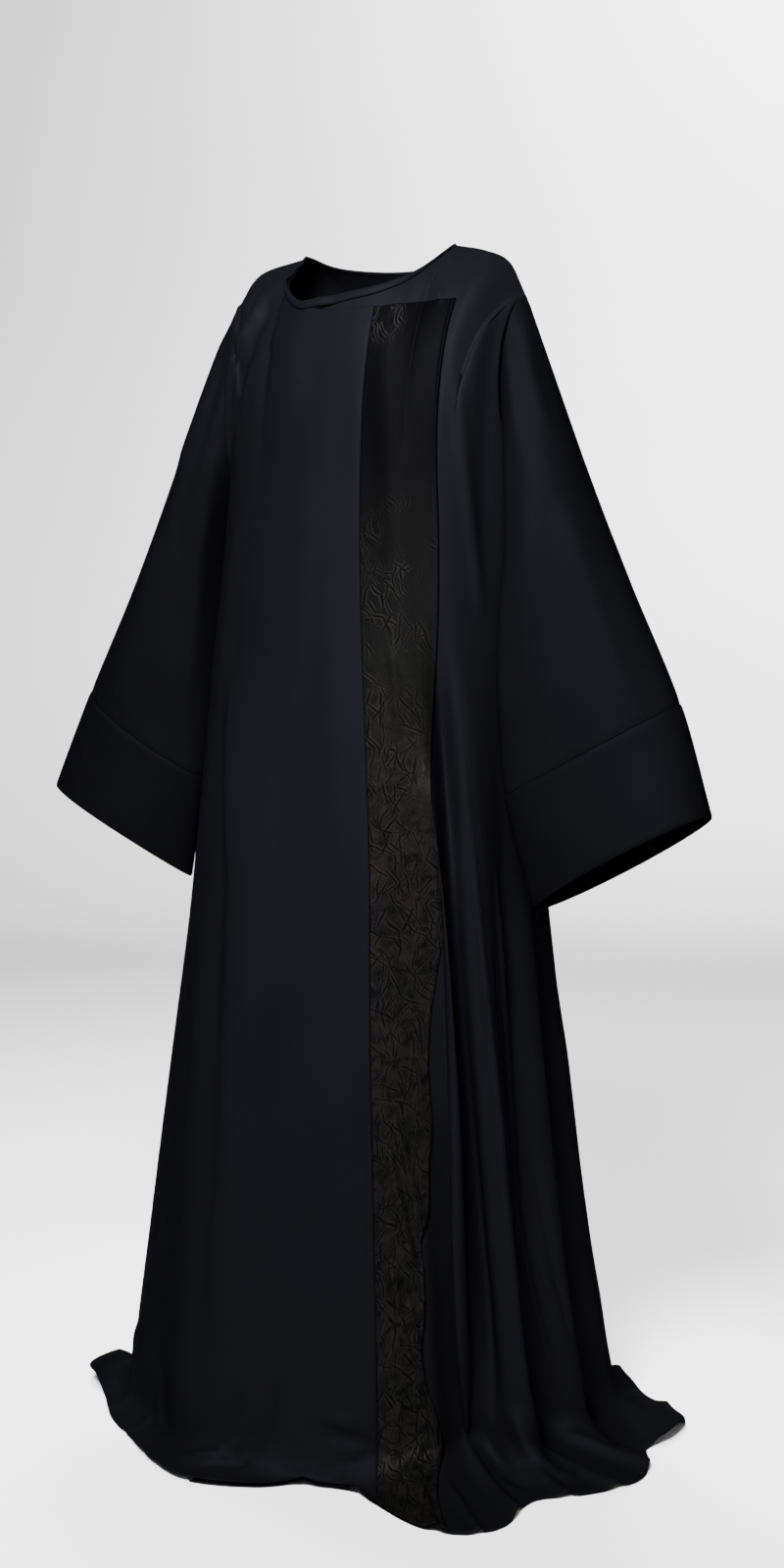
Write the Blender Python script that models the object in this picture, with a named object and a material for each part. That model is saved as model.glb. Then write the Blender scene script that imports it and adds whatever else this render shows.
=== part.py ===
"""An abaya cloak as it is worn: a wide wrap robe of black crepe, floor length, with a patterned band down
the edge of the wrap, flared sleeves and deep cuffs.

Metres, +Z up. The origin lies midway between the two points where the shoulder seams meet the neckline.
-Y is the front and +X is the wearer's left. A drop is a distance below the origin, and a turn is an angle
in degrees from the front towards the wearer's left. Each piece is cut as a flat wall, across by down by
through the cloth, and then each of its points is moved to its worn place.
"""
import math

import bmesh
import bpy
import numpy as np

FLOOR_DROP = 1.43
CLOTH = 0.0016
BAND_CLOTH = 0.0012
SEAM_GAP = 0.0003

# Lifts of the outer faces of the pieces that lie on the body, above its own outer face.
BAND_LIFT = 0.0024
WRAP_LIFT = 0.0050
BINDING_LIFT = 0.0026
SEAM_RISE = 0.0010
# Lines between which the right front rises onto the left front, and the binding onto the wrap and off again.
WRAP_RISE = (1.9, 2.85)
BINDING_RISE = (1.9, 2.4)
BINDING_FALL = (3.0, 3.3)

CHEST_DROP = 0.30
HIP_DROP = 0.80
BREAK_DROP = 1.385
BINDING_WIDTH = 0.012
# Least width of the cloth that lies on the floor, and how tightly the cloth curves from its top edge.
LEAST_HEM = 0.012
CURVE_PULL = 1.05

BLACK = (0.012, 0.012, 0.016)
BROWN_BLACK = (0.017, 0.015, 0.013)
CREPE_ROUGHNESS = 0.62
BAND_ROUGHNESS = 0.5

# Girth of the worn body of the robe, level by level: how far it reaches to each side of the axis.
SECTIONS = [
    # drop, right, left, front, back
    (0.20, 0.194, 0.190, 0.126, 0.104),
    (0.30, 0.200, 0.194, 0.138, 0.100),
    (0.40, 0.207, 0.198, 0.150, 0.099),
    (0.53, 0.220, 0.204, 0.166, 0.104),
    (0.79, 0.241, 0.213, 0.203, 0.120),
    (1.00, 0.262, 0.226, 0.234, 0.140),
    (1.21, 0.283, 0.244, 0.262, 0.164),
    (1.33, 0.297, 0.260, 0.277, 0.186),
    (1.43, 0.308, 0.278, 0.286, 0.206),
]
SECTION_SQUARENESS = 2.2

# The body's top edge: neckline and shoulder seams. Lines run down the cloth from it, numbered from the right
# side seam round the front: 1 is the right shoulder tip, 2 and 5 are the ends of the front neckline, 7 is the
# left tip, 8 the left side seam, 10 and 12 the ends of the back neckline and 14 is line 0 again.
TOP_EDGE = [
    # line, out, fwd, drop, corner
    (0.0, -0.198, 0.000, 0.272, True),
    (1.0, -0.208, 0.000, 0.055, True),
    (1.5, -0.176, 0.000, 0.018, False),
    (2.0, -0.108, 0.000, 0.002, True),
    (2.35, -0.100, 0.052, 0.042, False),
    (2.7, -0.060, 0.088, 0.070, False),
    (3.0, -0.028, 0.094, 0.069, False),
    (3.5, 0.012, 0.094, 0.062, False),
    (4.0, 0.050, 0.084, 0.054, False),
    (4.5, 0.082, 0.056, 0.037, False),
    (5.0, 0.106, 0.000, 0.000, True),
    (6.0, 0.150, 0.000, 0.010, False),
    (6.6, 0.182, 0.000, 0.027, False),
    (7.0, 0.203, 0.000, 0.068, True),
    (8.0, 0.195, 0.000, 0.272, True),
    (9.0, 0.203, 0.000, 0.068, True),
    (9.5, 0.172, 0.000, 0.022, False),
    (10.0, 0.106, 0.000, 0.000, True),
    (10.5, 0.078, -0.046, 0.014, False),
    (11.0, 0.000, -0.062, 0.020, False),
    (11.5, -0.078, -0.046, 0.014, False),
    (12.0, -0.108, 0.000, 0.002, True),
    (12.5, -0.176, 0.000, 0.018, False),
    (13.0, -0.208, 0.000, 0.055, True),
    (14.0, -0.198, 0.000, 0.272, True),
]

# How flat the cloth leaves the top edge (0 straight down, 1 level), and the turns where each line runs.
LINES = [
    # line, lean, at the chest, hip, hem
    (0.0, 0.00, -90, -90, -90),
    (0.5, 0.35, -71, -70, -70),
    (1.0, 0.80, -58, -57, -56),
    (1.5, 0.70, -50, -49, -48),
    (2.0, 0.60, -41, -41, -40),
    (2.35, 0.48, -35, -34, -33),
    (2.7, 0.36, -23, -21, -20),
    (3.0, 0.30, -11, -9, -8),
    (3.5, 0.30, 5, 9, 11),
    (4.0, 0.34, 21, 27, 29.5),
    (4.5, 0.46, 32, 33, 33),
    (5.0, 0.60, 40, 38, 36),
    (6.0, 0.64, 53, 45.5, 40),
    (6.6, 0.72, 55.5, 50, 46),
    (7.0, 0.80, 58, 54, 51),
    (7.5, 0.35, 72, 72, 71),
    (8.0, 0.00, 90, 90, 90),
    (8.5, 0.35, 107, 107, 108),
    (9.0, 0.80, 119, 120, 122),
    (9.5, 0.76, 125, 128, 131),
    (10.0, 0.82, 132, 137, 141),
    (10.5, 0.55, 145, 150, 156),
    (11.0, 0.40, 180, 180, 180),
    (11.5, 0.55, 215, 210, 204),
    (12.0, 0.82, 228, 223, 219),
    (12.5, 0.76, 235, 232, 229),
    (13.0, 0.80, 241, 240, 238),
    (13.5, 0.35, 253, 253, 252),
    (14.0, 0.00, 270, 270, 270),
]

# Armholes: an oval from the shoulder tip down to the underarm point, drawn in between them.
ARMHOLE_FRONT = 0.042
ARMHOLE_BACK = 0.038
ARMHOLE_NIP = 0.010
# Two pieces share one normal along a seam once the cosine between their faces is this large.
MITRE_FROM, MITRE_FULL = 0.2, 0.7

# Hanging folds. height is how far the crest stands out at the hem, or how far a valley sinks if it is
# negative, and spread is half its width in degrees.
FOLDS = [
    # turn at chest, turn at hem, start drop, height, spread
    (-58, -14, 0.35, 0.014, 14),
    (-66, -36, 0.40, -0.016, 12),
    (-82, -78, 0.60, 0.012, 11),
    (48.5, 54.0, 0.42, -0.046, 6.0),
    (53.0, 60.5, 0.25, 0.024, 6.0),
    (62.0, 67.0, 0.18, 0.016, 5.5),
    (72.0, 77.0, 0.50, -0.024, 6.0),
    (80.0, 86.0, 0.50, 0.022, 7.0),
    (96.0, 99.0, 0.50, -0.022, 6.5),
    (108.0, 111.0, 0.40, 0.030, 8.0),
    (124.0, 127.0, 0.45, -0.026, 8.0),
    (141.0, 144.0, 0.35, 0.032, 9.0),
    (160.0, 161.0, 0.50, -0.026, 9.0),
    (178.0, 178.0, 0.35, 0.028, 9.0),
    (197.0, 196.0, 0.50, -0.026, 9.0),
    (214.0, 213.0, 0.35, 0.032, 9.0),
    (232.0, 231.0, 0.50, -0.022, 8.0),
    (248.0, 248.0, 0.45, 0.022, 8.0),
]

# Reach of the hem where it lies on the floor.
HEM = [
    # turn, reach
    (-90, 0.352), (-74, 0.382), (-63, 0.346), (-50, 0.335), (-35, 0.328), (-20, 0.343), (-9, 0.352),
    (5, 0.324), (12, 0.300), (21, 0.300), (28, 0.335), (36, 0.414), (42, 0.440), (48, 0.430), (54, 0.388),
    (58, 0.376), (64, 0.388), (76, 0.402), (84, 0.384), (91, 0.358), (97, 0.372), (110, 0.376),
    (122, 0.332), (140, 0.328), (158, 0.292), (176, 0.318), (196, 0.288), (214, 0.338), (232, 0.320),
    (250, 0.356), (270, 0.352),
]

# How far the wrap's top edge lies below the origin.
WRAP_TOP = [
    # line, drop
    (2.7, 0.070), (3.0, 0.083), (3.5, 0.085), (4.0, 0.083), (5.0, 0.078), (6.0, 0.075),
]

# Sleeve and cuff, from the armhole (along 0) to the cuff seam (1) and the cuff's edge (1.27). over is the
# line on top of the arm, under the line that hangs below it, which swings forward on the left sleeve, and
# front and back say how far the cloth bulges between the two.
SLEEVE = [
    # along, over out, over fwd, over drop, under drop, left under out, fwd, right under out, fwd, front, back
    (0.00, 0.203, 0.000, 0.068, 0.272, 0.204, 0.000, 0.207, 0.000, 0.048, 0.042),
    (0.14, 0.232, 0.004, 0.140, 0.325, 0.216, 0.040, 0.224, 0.006, 0.054, 0.046),
    (0.42, 0.291, 0.012, 0.285, 0.440, 0.211, 0.080, 0.232, 0.010, 0.054, 0.050),
    (0.70, 0.350, 0.020, 0.417, 0.545, 0.211, 0.088, 0.242, 0.014, 0.048, 0.048),
    (1.00, 0.415, 0.030, 0.553, 0.662, 0.222, 0.094, 0.254, 0.018, 0.042, 0.044),
    (1.27, 0.460, 0.046, 0.680, 0.792, 0.262, 0.100, 0.274, 0.020, 0.044, 0.044),
]
CUFF_SEAM, CUFF_EDGE = 1.0, 1.27
# How far along a sleeve its sections still follow the armhole's own outline.
SEAM_FADE = 0.4
# How much fuller a sleeve's section is above its middle than below it.
SLEEVE_EGG = 0.18
# How far a sleeve's front looks to the side, in degrees.
SLEEVE_FACING = {"left": 14.0, "right": 4.0}
# How much lower the back of the cuff's edge hangs than its front.
CUFF_BACK_FALL = 0.024


def smooth_step(value, low, high):
    """0 below low, 1 above high, and a smooth rise between."""
    part = np.clip((value - low) / (high - low), 0.0, 1.0)
    return part * part * (3.0 - 2.0 * part)


def hermite(t, a, leave, b, arrive):
    """A cubic curve from a to b with its two end directions."""
    return ((2 * t ** 3 - 3 * t ** 2 + 1) * a + (t ** 3 - 2 * t ** 2 + t) * leave
            + (3 * t ** 2 - 2 * t ** 3) * b + (t ** 3 - t ** 2) * arrive)


def read(rows, column, at, corner=None):
    """The values of a column at some keys, on a smooth curve through the rows; a corner row breaks it."""
    keys = np.array([row[0] for row in rows], float)
    values = np.array([row[column] for row in rows], float)
    span = np.diff(keys)
    rise = np.diff(values) / span
    through = (values[2:] - values[:-2]) / (keys[2:] - keys[:-2])
    leaving = np.concatenate([rise[:1], through, rise[-1:]])
    arriving = leaving.copy()
    for index in range(1, len(rows) - 1):
        if corner is not None and rows[index][corner]:
            leaving[index] = rise[index]
            arriving[index] = rise[index - 1]
    at = np.clip(at, keys[0], keys[-1])
    index = np.clip(np.searchsorted(keys, at, side="right") - 1, 0, len(rows) - 2)
    t = (at - keys[index]) / span[index]
    return hermite(t, values[index], leaving[index] * span[index],
                   values[index + 1], arriving[index + 1] * span[index])


def unit(vectors):
    """Vectors of length 1."""
    return vectors / np.maximum(np.linalg.norm(vectors, axis=-1, keepdims=True), 1e-12)


def fold_height(turn, drop):
    """How far the folds move the cloth away from the axis."""
    total = np.zeros(np.broadcast(turn, drop).shape)
    down = np.clip((drop - CHEST_DROP) / (FLOOR_DROP - CHEST_DROP), 0.0, 1.0)
    for chest, hem, start, height, spread in FOLDS:
        away = (turn - chest - (hem - chest) * down + 180.0) % 360.0 - 180.0
        wave = 0.5 * (1.0 + np.cos(np.pi * np.clip(away / (2.0 * spread), -1.0, 1.0)))
        total += height * smooth_step(drop, start, FLOOR_DROP) * wave
    return total


def body_reach(turn, drop):
    """Distance of the cloth from the axis at a turn and a drop."""
    right, left, front, back = (read(SECTIONS, column, drop) for column in (1, 2, 3, 4))
    angle = np.radians(turn)
    side = np.where(np.sin(angle) > 0, left, right)
    deep = np.where(np.cos(angle) > 0, front, back)
    power = SECTION_SQUARENESS
    plain = (np.abs(np.sin(angle) / side) ** power + np.abs(np.cos(angle) / deep) ** power) ** (-1.0 / power)
    return plain + fold_height(turn, drop)


def line_turn(line, drop):
    """Turn of a line at a drop."""
    chest, hip, hem = (read(LINES, column, line) for column in (2, 3, 4))
    return (chest + (hip - chest) * smooth_step(drop, CHEST_DROP, HIP_DROP)
            + (hem - hip) * smooth_step(drop, HIP_DROP, FLOOR_DROP))


def around_axis(turn, reach, height):
    """The point at a turn, a distance from the axis and a height."""
    angle = np.radians(turn)
    return np.stack([reach * np.sin(angle), -reach * np.cos(angle), height + np.zeros_like(reach)], -1)


def hanging(line, drop):
    """A point of the body below the chest."""
    turn = line_turn(line, drop)
    return around_axis(turn, body_reach(turn, drop), -drop)


def body_top(line):
    """A point of the body's top edge: neckline, shoulder seam or armhole."""
    edge = np.stack([read(TOP_EDGE, 1, line, 4), -read(TOP_EDGE, 2, line, 4), -read(TOP_EDGE, 3, line, 4)], -1)
    for tip, underarm, depth in ((1.0, 0.0, ARMHOLE_FRONT), (7.0, 8.0, ARMHOLE_FRONT),
                                 (9.0, 8.0, -ARMHOLE_BACK), (13.0, 14.0, -ARMHOLE_BACK)):
        part = np.clip((line - tip) / (underarm - tip), 0.0, 1.0)
        ends = body_edge_row(tip), body_edge_row(underarm)
        oval = ends[0] + (ends[1] - ends[0]) * (0.5 - 0.5 * np.cos(np.pi * part))[..., None]
        oval[..., 0] -= np.sign(ends[0][0]) * ARMHOLE_NIP * np.sin(np.pi * part)
        oval[..., 1] -= depth * np.sin(np.pi * part)
        on_armhole = (line >= min(tip, underarm)) & (line <= max(tip, underarm))
        edge = np.where(on_armhole[..., None], oval, edge)
    return edge


def body_edge_row(line):
    """The top end that the table gives for one line."""
    row = next(row for row in TOP_EDGE if row[0] == line)
    return np.array((row[1], -row[2], -row[3]))


def body_place(line, down):
    """Points of the body's outer face: down runs 0 to 1 from the top edge to the chest, to 2 where the
    cloth bends to the floor and to 3 at the hem."""
    line, down = np.broadcast_arrays(np.asarray(line, float), np.asarray(down, float))
    top = body_top(line)
    chest = hanging(line, np.full(line.shape, CHEST_DROP))
    below = hanging(line, np.full(line.shape, 1.1 * CHEST_DROP))
    length = np.linalg.norm(chest - top, axis=-1, keepdims=True) * CURVE_PULL
    level = unit((chest - top) * (1, 1, 0))
    lean = read(LINES, 1, line)[..., None]
    leave = unit((1 - lean) * np.array((0.0, 0.0, -1.0)) + lean * level)
    upper = hermite(np.clip(down, 0, 1)[..., None], top, leave * length, chest, unit(below - chest) * length)

    middle = hanging(line, CHEST_DROP + (np.clip(down, 1, 2) - 1) * (BREAK_DROP - CHEST_DROP))

    start = hanging(line, np.full(line.shape, BREAK_DROP))
    foot = hanging(line, np.full(line.shape, FLOOR_DROP))
    foot[..., 2] = CLOTH - FLOOR_DROP
    turn = line_turn(line, np.full(line.shape, FLOOR_DROP))
    reach = np.maximum(read(HEM, 1, (turn + 90.0) % 360.0 - 90.0), np.linalg.norm(foot[..., :2], axis=-1) + LEAST_HEM)
    hem = around_axis(turn, reach, CLOTH - FLOOR_DROP)
    t = np.clip(down - 2, 0, None)[..., None]
    lower = (1 - t) ** 2 * start + 2 * t * (1 - t) * foot + t ** 2 * hem
    return np.where((down <= 1)[..., None], upper, np.where((down <= 2)[..., None], middle, lower))


def sleeve_place(side, around, along):
    """Points of a sleeve: around runs 0 to 1 down its front and on to 2 up its back."""
    around, along = np.broadcast_arrays(np.asarray(around, float), np.asarray(along, float))
    flip = 1.0 if side == "left" else -1.0
    line = 7.0 + around if side == "left" else np.where(around <= 1.0, 1.0 - around, 15.0 - around)

    def section(part):
        over_out, over_fwd, over_drop, under_drop, left_out, left_fwd, right_out, right_fwd, front, back = (
            read(SLEEVE, column, part) for column in range(1, 11))
        under_out, under_fwd = (left_out, left_fwd) if side == "left" else (right_out, right_fwd)
        over = np.stack([flip * over_out, -over_fwd, -over_drop], -1)
        under = np.stack([flip * under_out, -under_fwd, -under_drop], -1)
        chord = over - under
        facing = math.radians(SLEEVE_FACING[side])
        ahead = np.array((flip * math.sin(facing), -math.cos(facing), 0.0))
        angle = np.pi * around
        bulge = np.where(around <= 1.0, front, back) * (1.0 + SLEEVE_EGG * np.cos(angle)) * np.sin(angle)
        point = (over + under) / 2 + chord / 2 * np.cos(angle)[..., None] + ahead * bulge[..., None]
        point[..., 2] += smooth_step(part, CUFF_SEAM, CUFF_EDGE) * CUFF_BACK_FALL / 2 * np.sin(angle)
        return point

    seam_shift = body_top(line) - section(np.zeros_like(along))
    return section(along) + seam_shift * (1.0 - smooth_step(along, 0.0, SEAM_FADE))[..., None]


def face_normal(place, across, down, outward):
    """Unit normals of a surface that is given by a function of two positions on the cloth."""
    step = 1e-3
    beside = place(across + step, down) - place(across - step, down)
    below = place(across, down + step) - place(across, np.maximum(down - step, 0.0))
    return unit(np.cross(below, beside) * outward)


def body_face_normal(line, down):
    return face_normal(lambda u, v: body_place(u % 14.0, v), line, down, 1.0)


def body_normal(line, down):
    """Normals of the body's outer face, shared with the neighbour along the shoulder and armhole seams."""
    line, down = np.broadcast_arrays(np.asarray(line, float), np.asarray(down, float))
    normal = body_face_normal(line, down)
    edge = down < 1e-6
    shoulder = edge & (((line >= 1) & (line <= 2)) | ((line >= 5) & (line <= 7)) | ((line >= 9) & (line <= 10))
                       | ((line >= 12) & (line <= 13)))
    normal = np.where(shoulder[..., None], unit(normal * (1, 0, 1)), normal)
    for side in ("left", "right"):
        if side == "left":
            armhole = edge & (line >= 7) & (line <= 9)
            around = np.clip(line - 7, 0, 2)
        else:
            armhole = edge & ((line <= 1) | (line >= 13))
            around = np.clip(np.where(line <= 1, 1 - line, 15 - line), 0, 2)
        other = sleeve_face_normal(side, around, np.zeros_like(around))
        share = smooth_step(np.sum(normal * other, -1), MITRE_FROM, MITRE_FULL)[..., None]
        normal = np.where(armhole[..., None], unit(normal + other * share), normal)
    return normal


def sleeve_face_normal(side, around, along):
    return face_normal(lambda u, v: sleeve_place(side, u % 2.0, v), around, along, -1.0 if side == "left" else 1.0)


def sleeve_normal(side, around, along):
    """Normals of a sleeve's outer face, shared with the body along the armhole seam."""
    around, along = np.broadcast_arrays(np.asarray(around, float), np.asarray(along, float))
    normal = sleeve_face_normal(side, around, along)
    line = 7.0 + around if side == "left" else np.where(around <= 1.0, 1.0 - around, 15.0 - around)
    other = body_face_normal(line, np.zeros_like(line))
    share = smooth_step(np.sum(normal * other, -1), MITRE_FROM, MITRE_FULL)[..., None]
    return np.where((along < 1e-6)[..., None], unit(normal + other * share), normal)


def down_at(line, drop):
    """How far down its line the body's top part reaches a drop."""
    steps = np.linspace(0, 1, 60)
    drops = -body_place(np.full(steps.shape, line), steps)[:, 2]
    return float(np.interp(drop, drops, steps))


def cut_flat(columns, rows):
    """A flat wall, columns by rows, two layers thick: its points lie at whole numbers."""
    mesh = bmesh.new()
    bmesh.ops.create_grid(mesh, x_segments=columns - 1, y_segments=rows - 1, size=0.5)
    for vert in mesh.verts:
        vert.co.x = round((vert.co.x + 0.5) * (columns - 1))
        vert.co.y = round((vert.co.y + 0.5) * (rows - 1))
    copied = bmesh.ops.extrude_face_region(mesh, geom=mesh.faces[:])["geom"]
    for vert in copied:
        if isinstance(vert, bmesh.types.BMVert):
            vert.co.z = 1.0
    return mesh


def cut_round(columns, rows):
    """The same wall as a closed tube: the column is the turn about Z."""
    mesh = bmesh.new()
    corners = [(2.0, row) for row in range(rows)] + [(1.0, row) for row in reversed(range(rows))]
    profile = [mesh.verts.new((radius, 0.0, float(row))) for radius, row in corners]
    edges = [mesh.edges.new((profile[i - 1], profile[i])) for i in range(len(profile))]
    bmesh.ops.spin(mesh, geom=profile + edges, axis=(0, 0, 1), cent=(0, 0, 0), angle=2 * math.pi,
                   steps=columns, use_merge=True)
    for vert in mesh.verts:
        turn = math.atan2(vert.co.y, vert.co.x) % (2 * math.pi)
        layer = 0.0 if vert.co.xy.length > 1.5 else 1.0
        vert.co = (round(turn / (2 * math.pi) * columns) % columns, vert.co.z, layer)
    return mesh


def sew(name, mesh, outer, inner, colour, roughness):
    """Moves the points of a cut wall to their worn places and makes the piece's object."""
    for vert in mesh.verts:
        column, row, layer = (round(value) for value in vert.co)
        vert.co = (inner if layer else outer)[column][row]
    mesh.normal_update()
    bmesh.ops.recalc_face_normals(mesh, faces=mesh.faces[:])
    if mesh.calc_volume(signed=True) < 0:
        bmesh.ops.reverse_faces(mesh, faces=mesh.faces[:])
    data = bpy.data.meshes.new(name)
    mesh.to_mesh(data)
    mesh.free()
    data.shade_smooth()
    material = bpy.data.materials.new(name + "_cloth")
    material.use_nodes = True
    shader = material.node_tree.nodes["Principled BSDF"]
    shader.inputs["Base Color"].default_value = (*colour, 1.0)
    shader.inputs["Roughness"].default_value = roughness
    shader.inputs["Metallic"].default_value = 0.0
    data.materials.append(material)
    piece = bpy.data.objects.new(name, data)
    bpy.context.scene.collection.objects.link(piece)
    return piece


def inset(outer, inner, first_column=0.0, last_column=0.0, first_row=0.0):
    """Draws the edges of a wall back from its neighbours, along the cloth."""
    for wall in (outer, inner):
        moves = []
        if first_column:
            moves.append((np.s_[0], unit(wall[1] - wall[0]) * first_column))
        if last_column:
            moves.append((np.s_[-1], unit(wall[-2] - wall[-1]) * last_column))
        if first_row:
            moves.append((np.s_[:, 0], unit(wall[:, 1] - wall[:, 0]) * first_row))
        for place, move in moves:
            wall[place] += move


def steps_between(stops):
    """Positions along a list of (position, steps to the next) stops."""
    places = []
    for (start, count), (end, _) in zip(stops, stops[1:]):
        places.extend(start + (end - start) * i / count for i in range(count))
    return np.array(places + [stops[-1][0]])


# Rows of points down the body, and lines of points across each panel.
DOWN_ROWS = steps_between([(0.0, 2), (0.2, 3), (0.62, 2), (1.0, 13), (2.0, 5), (3.0, 0)])
FRONT_RIGHT_LINES = steps_between([(0.0, 9), (1.0, 4), (2.0, 4), (3.0, 4), (4.0, 0)])
FRONT_LEFT_LINES = steps_between([(3.0, 4), (4.0, 4), (5.0, 3), (6.0, 4), (7.0, 9), (8.0, 0)])
BACK_LINES = steps_between([(8.0, 9), (9.0, 5), (10.0, 18), (12.0, 5), (13.0, 9), (14.0, 0)])
BAND_LINES = steps_between([(3.75, 1), (4.0, 4), (5.0, 3), (6.0, 0)])
SLEEVE_ROWS = steps_between([(0.0, 4), (0.3, 7), (CUFF_SEAM, 0)])
CUFF_ROWS = steps_between([(CUFF_SEAM, 3), (CUFF_EDGE, 0)])
ARMHOLE_LINES = 18


def panel_points(lines, downs, lift, cloth):
    """Outer and inner points of a piece of the body."""
    line, down = np.asarray(lines)[:, None] + 0 * downs, downs
    place = body_place(line, down)
    normal = body_normal(line, down)
    lift = (lift + 0 * down)[..., None]
    return place + normal * lift, place + normal * (lift - cloth)


def wrap_downs(lines, first_kept_row=5):
    """Rows of the wrap: its own top edge, then the rows of the cloth below it."""
    downs = np.repeat(DOWN_ROWS[None], len(lines), 0)
    for index, line in enumerate(lines):
        if line > WRAP_TOP[0][0]:
            top = down_at(line, float(read(WRAP_TOP, 1, np.array(line))))
            part = DOWN_ROWS[:first_kept_row] / DOWN_ROWS[first_kept_row]
            downs[index, :first_kept_row] = top + (DOWN_ROWS[first_kept_row] - top) * part
    return downs


for old in list(bpy.data.objects):
    bpy.data.objects.remove(old)

# Back: one panel from side seam to side seam.
rows = len(DOWN_ROWS)
outer, inner = panel_points(BACK_LINES, np.repeat(DOWN_ROWS[None], len(BACK_LINES), 0), 0.0, CLOTH)
inset(outer, inner, SEAM_GAP / 2, SEAM_GAP / 2, SEAM_GAP / 2)
sew("back", cut_flat(len(BACK_LINES), rows), outer, inner, BLACK, CREPE_ROUGHNESS)

# Left front: runs on under the wrap to just past the middle.
outer, inner = panel_points(FRONT_LEFT_LINES, np.repeat(DOWN_ROWS[None], len(FRONT_LEFT_LINES), 0), 0.0, CLOTH)
inset(outer, inner, 0.0, SEAM_GAP / 2, SEAM_GAP / 2)
sew("front_left", cut_flat(len(FRONT_LEFT_LINES), rows), outer, inner, BLACK, CREPE_ROUGHNESS)

# Right front: the top layer, lifted off the left front where it crosses it.
lift = WRAP_LIFT * smooth_step(FRONT_RIGHT_LINES, *WRAP_RISE)[:, None]
outer, inner = panel_points(FRONT_RIGHT_LINES, wrap_downs(FRONT_RIGHT_LINES), lift, CLOTH)
inset(outer, inner, SEAM_GAP / 2, 0.0, SEAM_GAP / 2)
sew("front_right", cut_flat(len(FRONT_RIGHT_LINES), rows), outer, inner, BLACK, CREPE_ROUGHNESS)

# Band: starts under the edge of the right front and lies on the left front.
outer, inner = panel_points(BAND_LINES, wrap_downs(BAND_LINES), BAND_LIFT, BAND_CLOTH)
sew("front_band", cut_flat(len(BAND_LINES), rows), outer, inner, BROWN_BLACK, BAND_ROUGHNESS)

# Neck binding: a strip on the outside of the neckline. It runs down the cloth, and at the shoulder seams out
# along the seam.
neck_lines = np.concatenate([FRONT_RIGHT_LINES[(FRONT_RIGHT_LINES >= 2) & (FRONT_RIGHT_LINES < 3)],
                             FRONT_LEFT_LINES[FRONT_LEFT_LINES <= 5],
                             BACK_LINES[(BACK_LINES > 10) & (BACK_LINES < 12)]])
at_seam = np.where(neck_lines == 5, 1.0, np.where(neck_lines == 2, -1.0, 0.0))
line_out = 1.0 / np.linalg.norm(body_top(np.array(6.0)) - body_top(np.array(5.0)))
row_down = DOWN_ROWS[1] / np.linalg.norm(body_place(neck_lines, DOWN_ROWS[1]) - body_top(neck_lines), axis=-1)
edges = np.array((0.0, BINDING_WIDTH))
across = neck_lines[:, None] + (at_seam * line_out)[:, None] * edges
down = ((1.0 - np.abs(at_seam)) * row_down)[:, None] * edges
place = body_place(across, down)
normal = body_normal(across, down)
on_wrap = smooth_step(neck_lines, *BINDING_RISE) * (1.0 - smooth_step(neck_lines, *BINDING_FALL))
lift = (BINDING_LIFT + WRAP_LIFT * on_wrap + SEAM_RISE * np.abs(at_seam))[:, None, None]
sew("neck_binding", cut_round(len(neck_lines), len(edges)), place + normal * lift,
    place + normal * (lift - BAND_CLOTH), BLACK, CREPE_ROUGHNESS)

# Sleeves and cuffs: closed tubes, row by row from the armhole.
for side in ("left", "right"):
    around = np.arange(ARMHOLE_LINES) * 2.0 / ARMHOLE_LINES
    for name, rows_along in (("sleeve_" + side, SLEEVE_ROWS), ("cuff_" + side, CUFF_ROWS)):
        turn, along = np.meshgrid(around, rows_along, indexing="ij")
        outer = sleeve_place(side, turn, along)
        inner = outer - sleeve_normal(side, turn, along) * CLOTH
        inset(outer, inner, first_row=SEAM_GAP)
        sew(name, cut_round(ARMHOLE_LINES, len(rows_along)), outer, inner, BLACK, CREPE_ROUGHNESS)
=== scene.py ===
import math

import bmesh
import bpy
import numpy as np
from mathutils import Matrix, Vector


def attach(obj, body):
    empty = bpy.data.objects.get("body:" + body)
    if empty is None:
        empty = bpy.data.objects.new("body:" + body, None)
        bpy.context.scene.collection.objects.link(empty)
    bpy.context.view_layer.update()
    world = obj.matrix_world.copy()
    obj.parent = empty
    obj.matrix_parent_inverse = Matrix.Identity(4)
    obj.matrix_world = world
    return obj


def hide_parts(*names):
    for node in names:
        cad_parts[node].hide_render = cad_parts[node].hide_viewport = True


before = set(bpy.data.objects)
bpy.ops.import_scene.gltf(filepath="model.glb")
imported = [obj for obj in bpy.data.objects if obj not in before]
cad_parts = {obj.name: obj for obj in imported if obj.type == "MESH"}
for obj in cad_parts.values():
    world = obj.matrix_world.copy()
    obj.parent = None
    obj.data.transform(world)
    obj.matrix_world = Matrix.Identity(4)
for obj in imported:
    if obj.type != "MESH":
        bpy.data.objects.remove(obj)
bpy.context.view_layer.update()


# ---- Camera, floor and lights --------------------------------------------------------------------------
# A level camera in front of the wearer's left side, a pale round cove under and behind the garment, and large
# soft lights.

FLOOR = -1.43
VIEW_AZIMUTH, VIEW_DISTANCE, VIEW_HEIGHT = 30.0, 3.0, -0.42

eye = bpy.data.cameras.new("camera")
eye.lens = 55.35
eye.shift_x, eye.shift_y = 0.0075, -0.125
camera = bpy.data.objects.new("camera", eye)
view_turn = math.radians(VIEW_AZIMUTH)
camera.location = (VIEW_DISTANCE * math.sin(view_turn), -VIEW_DISTANCE * math.cos(view_turn), VIEW_HEIGHT)
camera.rotation_euler = (math.pi / 2, 0.0, view_turn)
bpy.context.scene.collection.objects.link(camera)
bpy.context.scene.camera = camera


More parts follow.
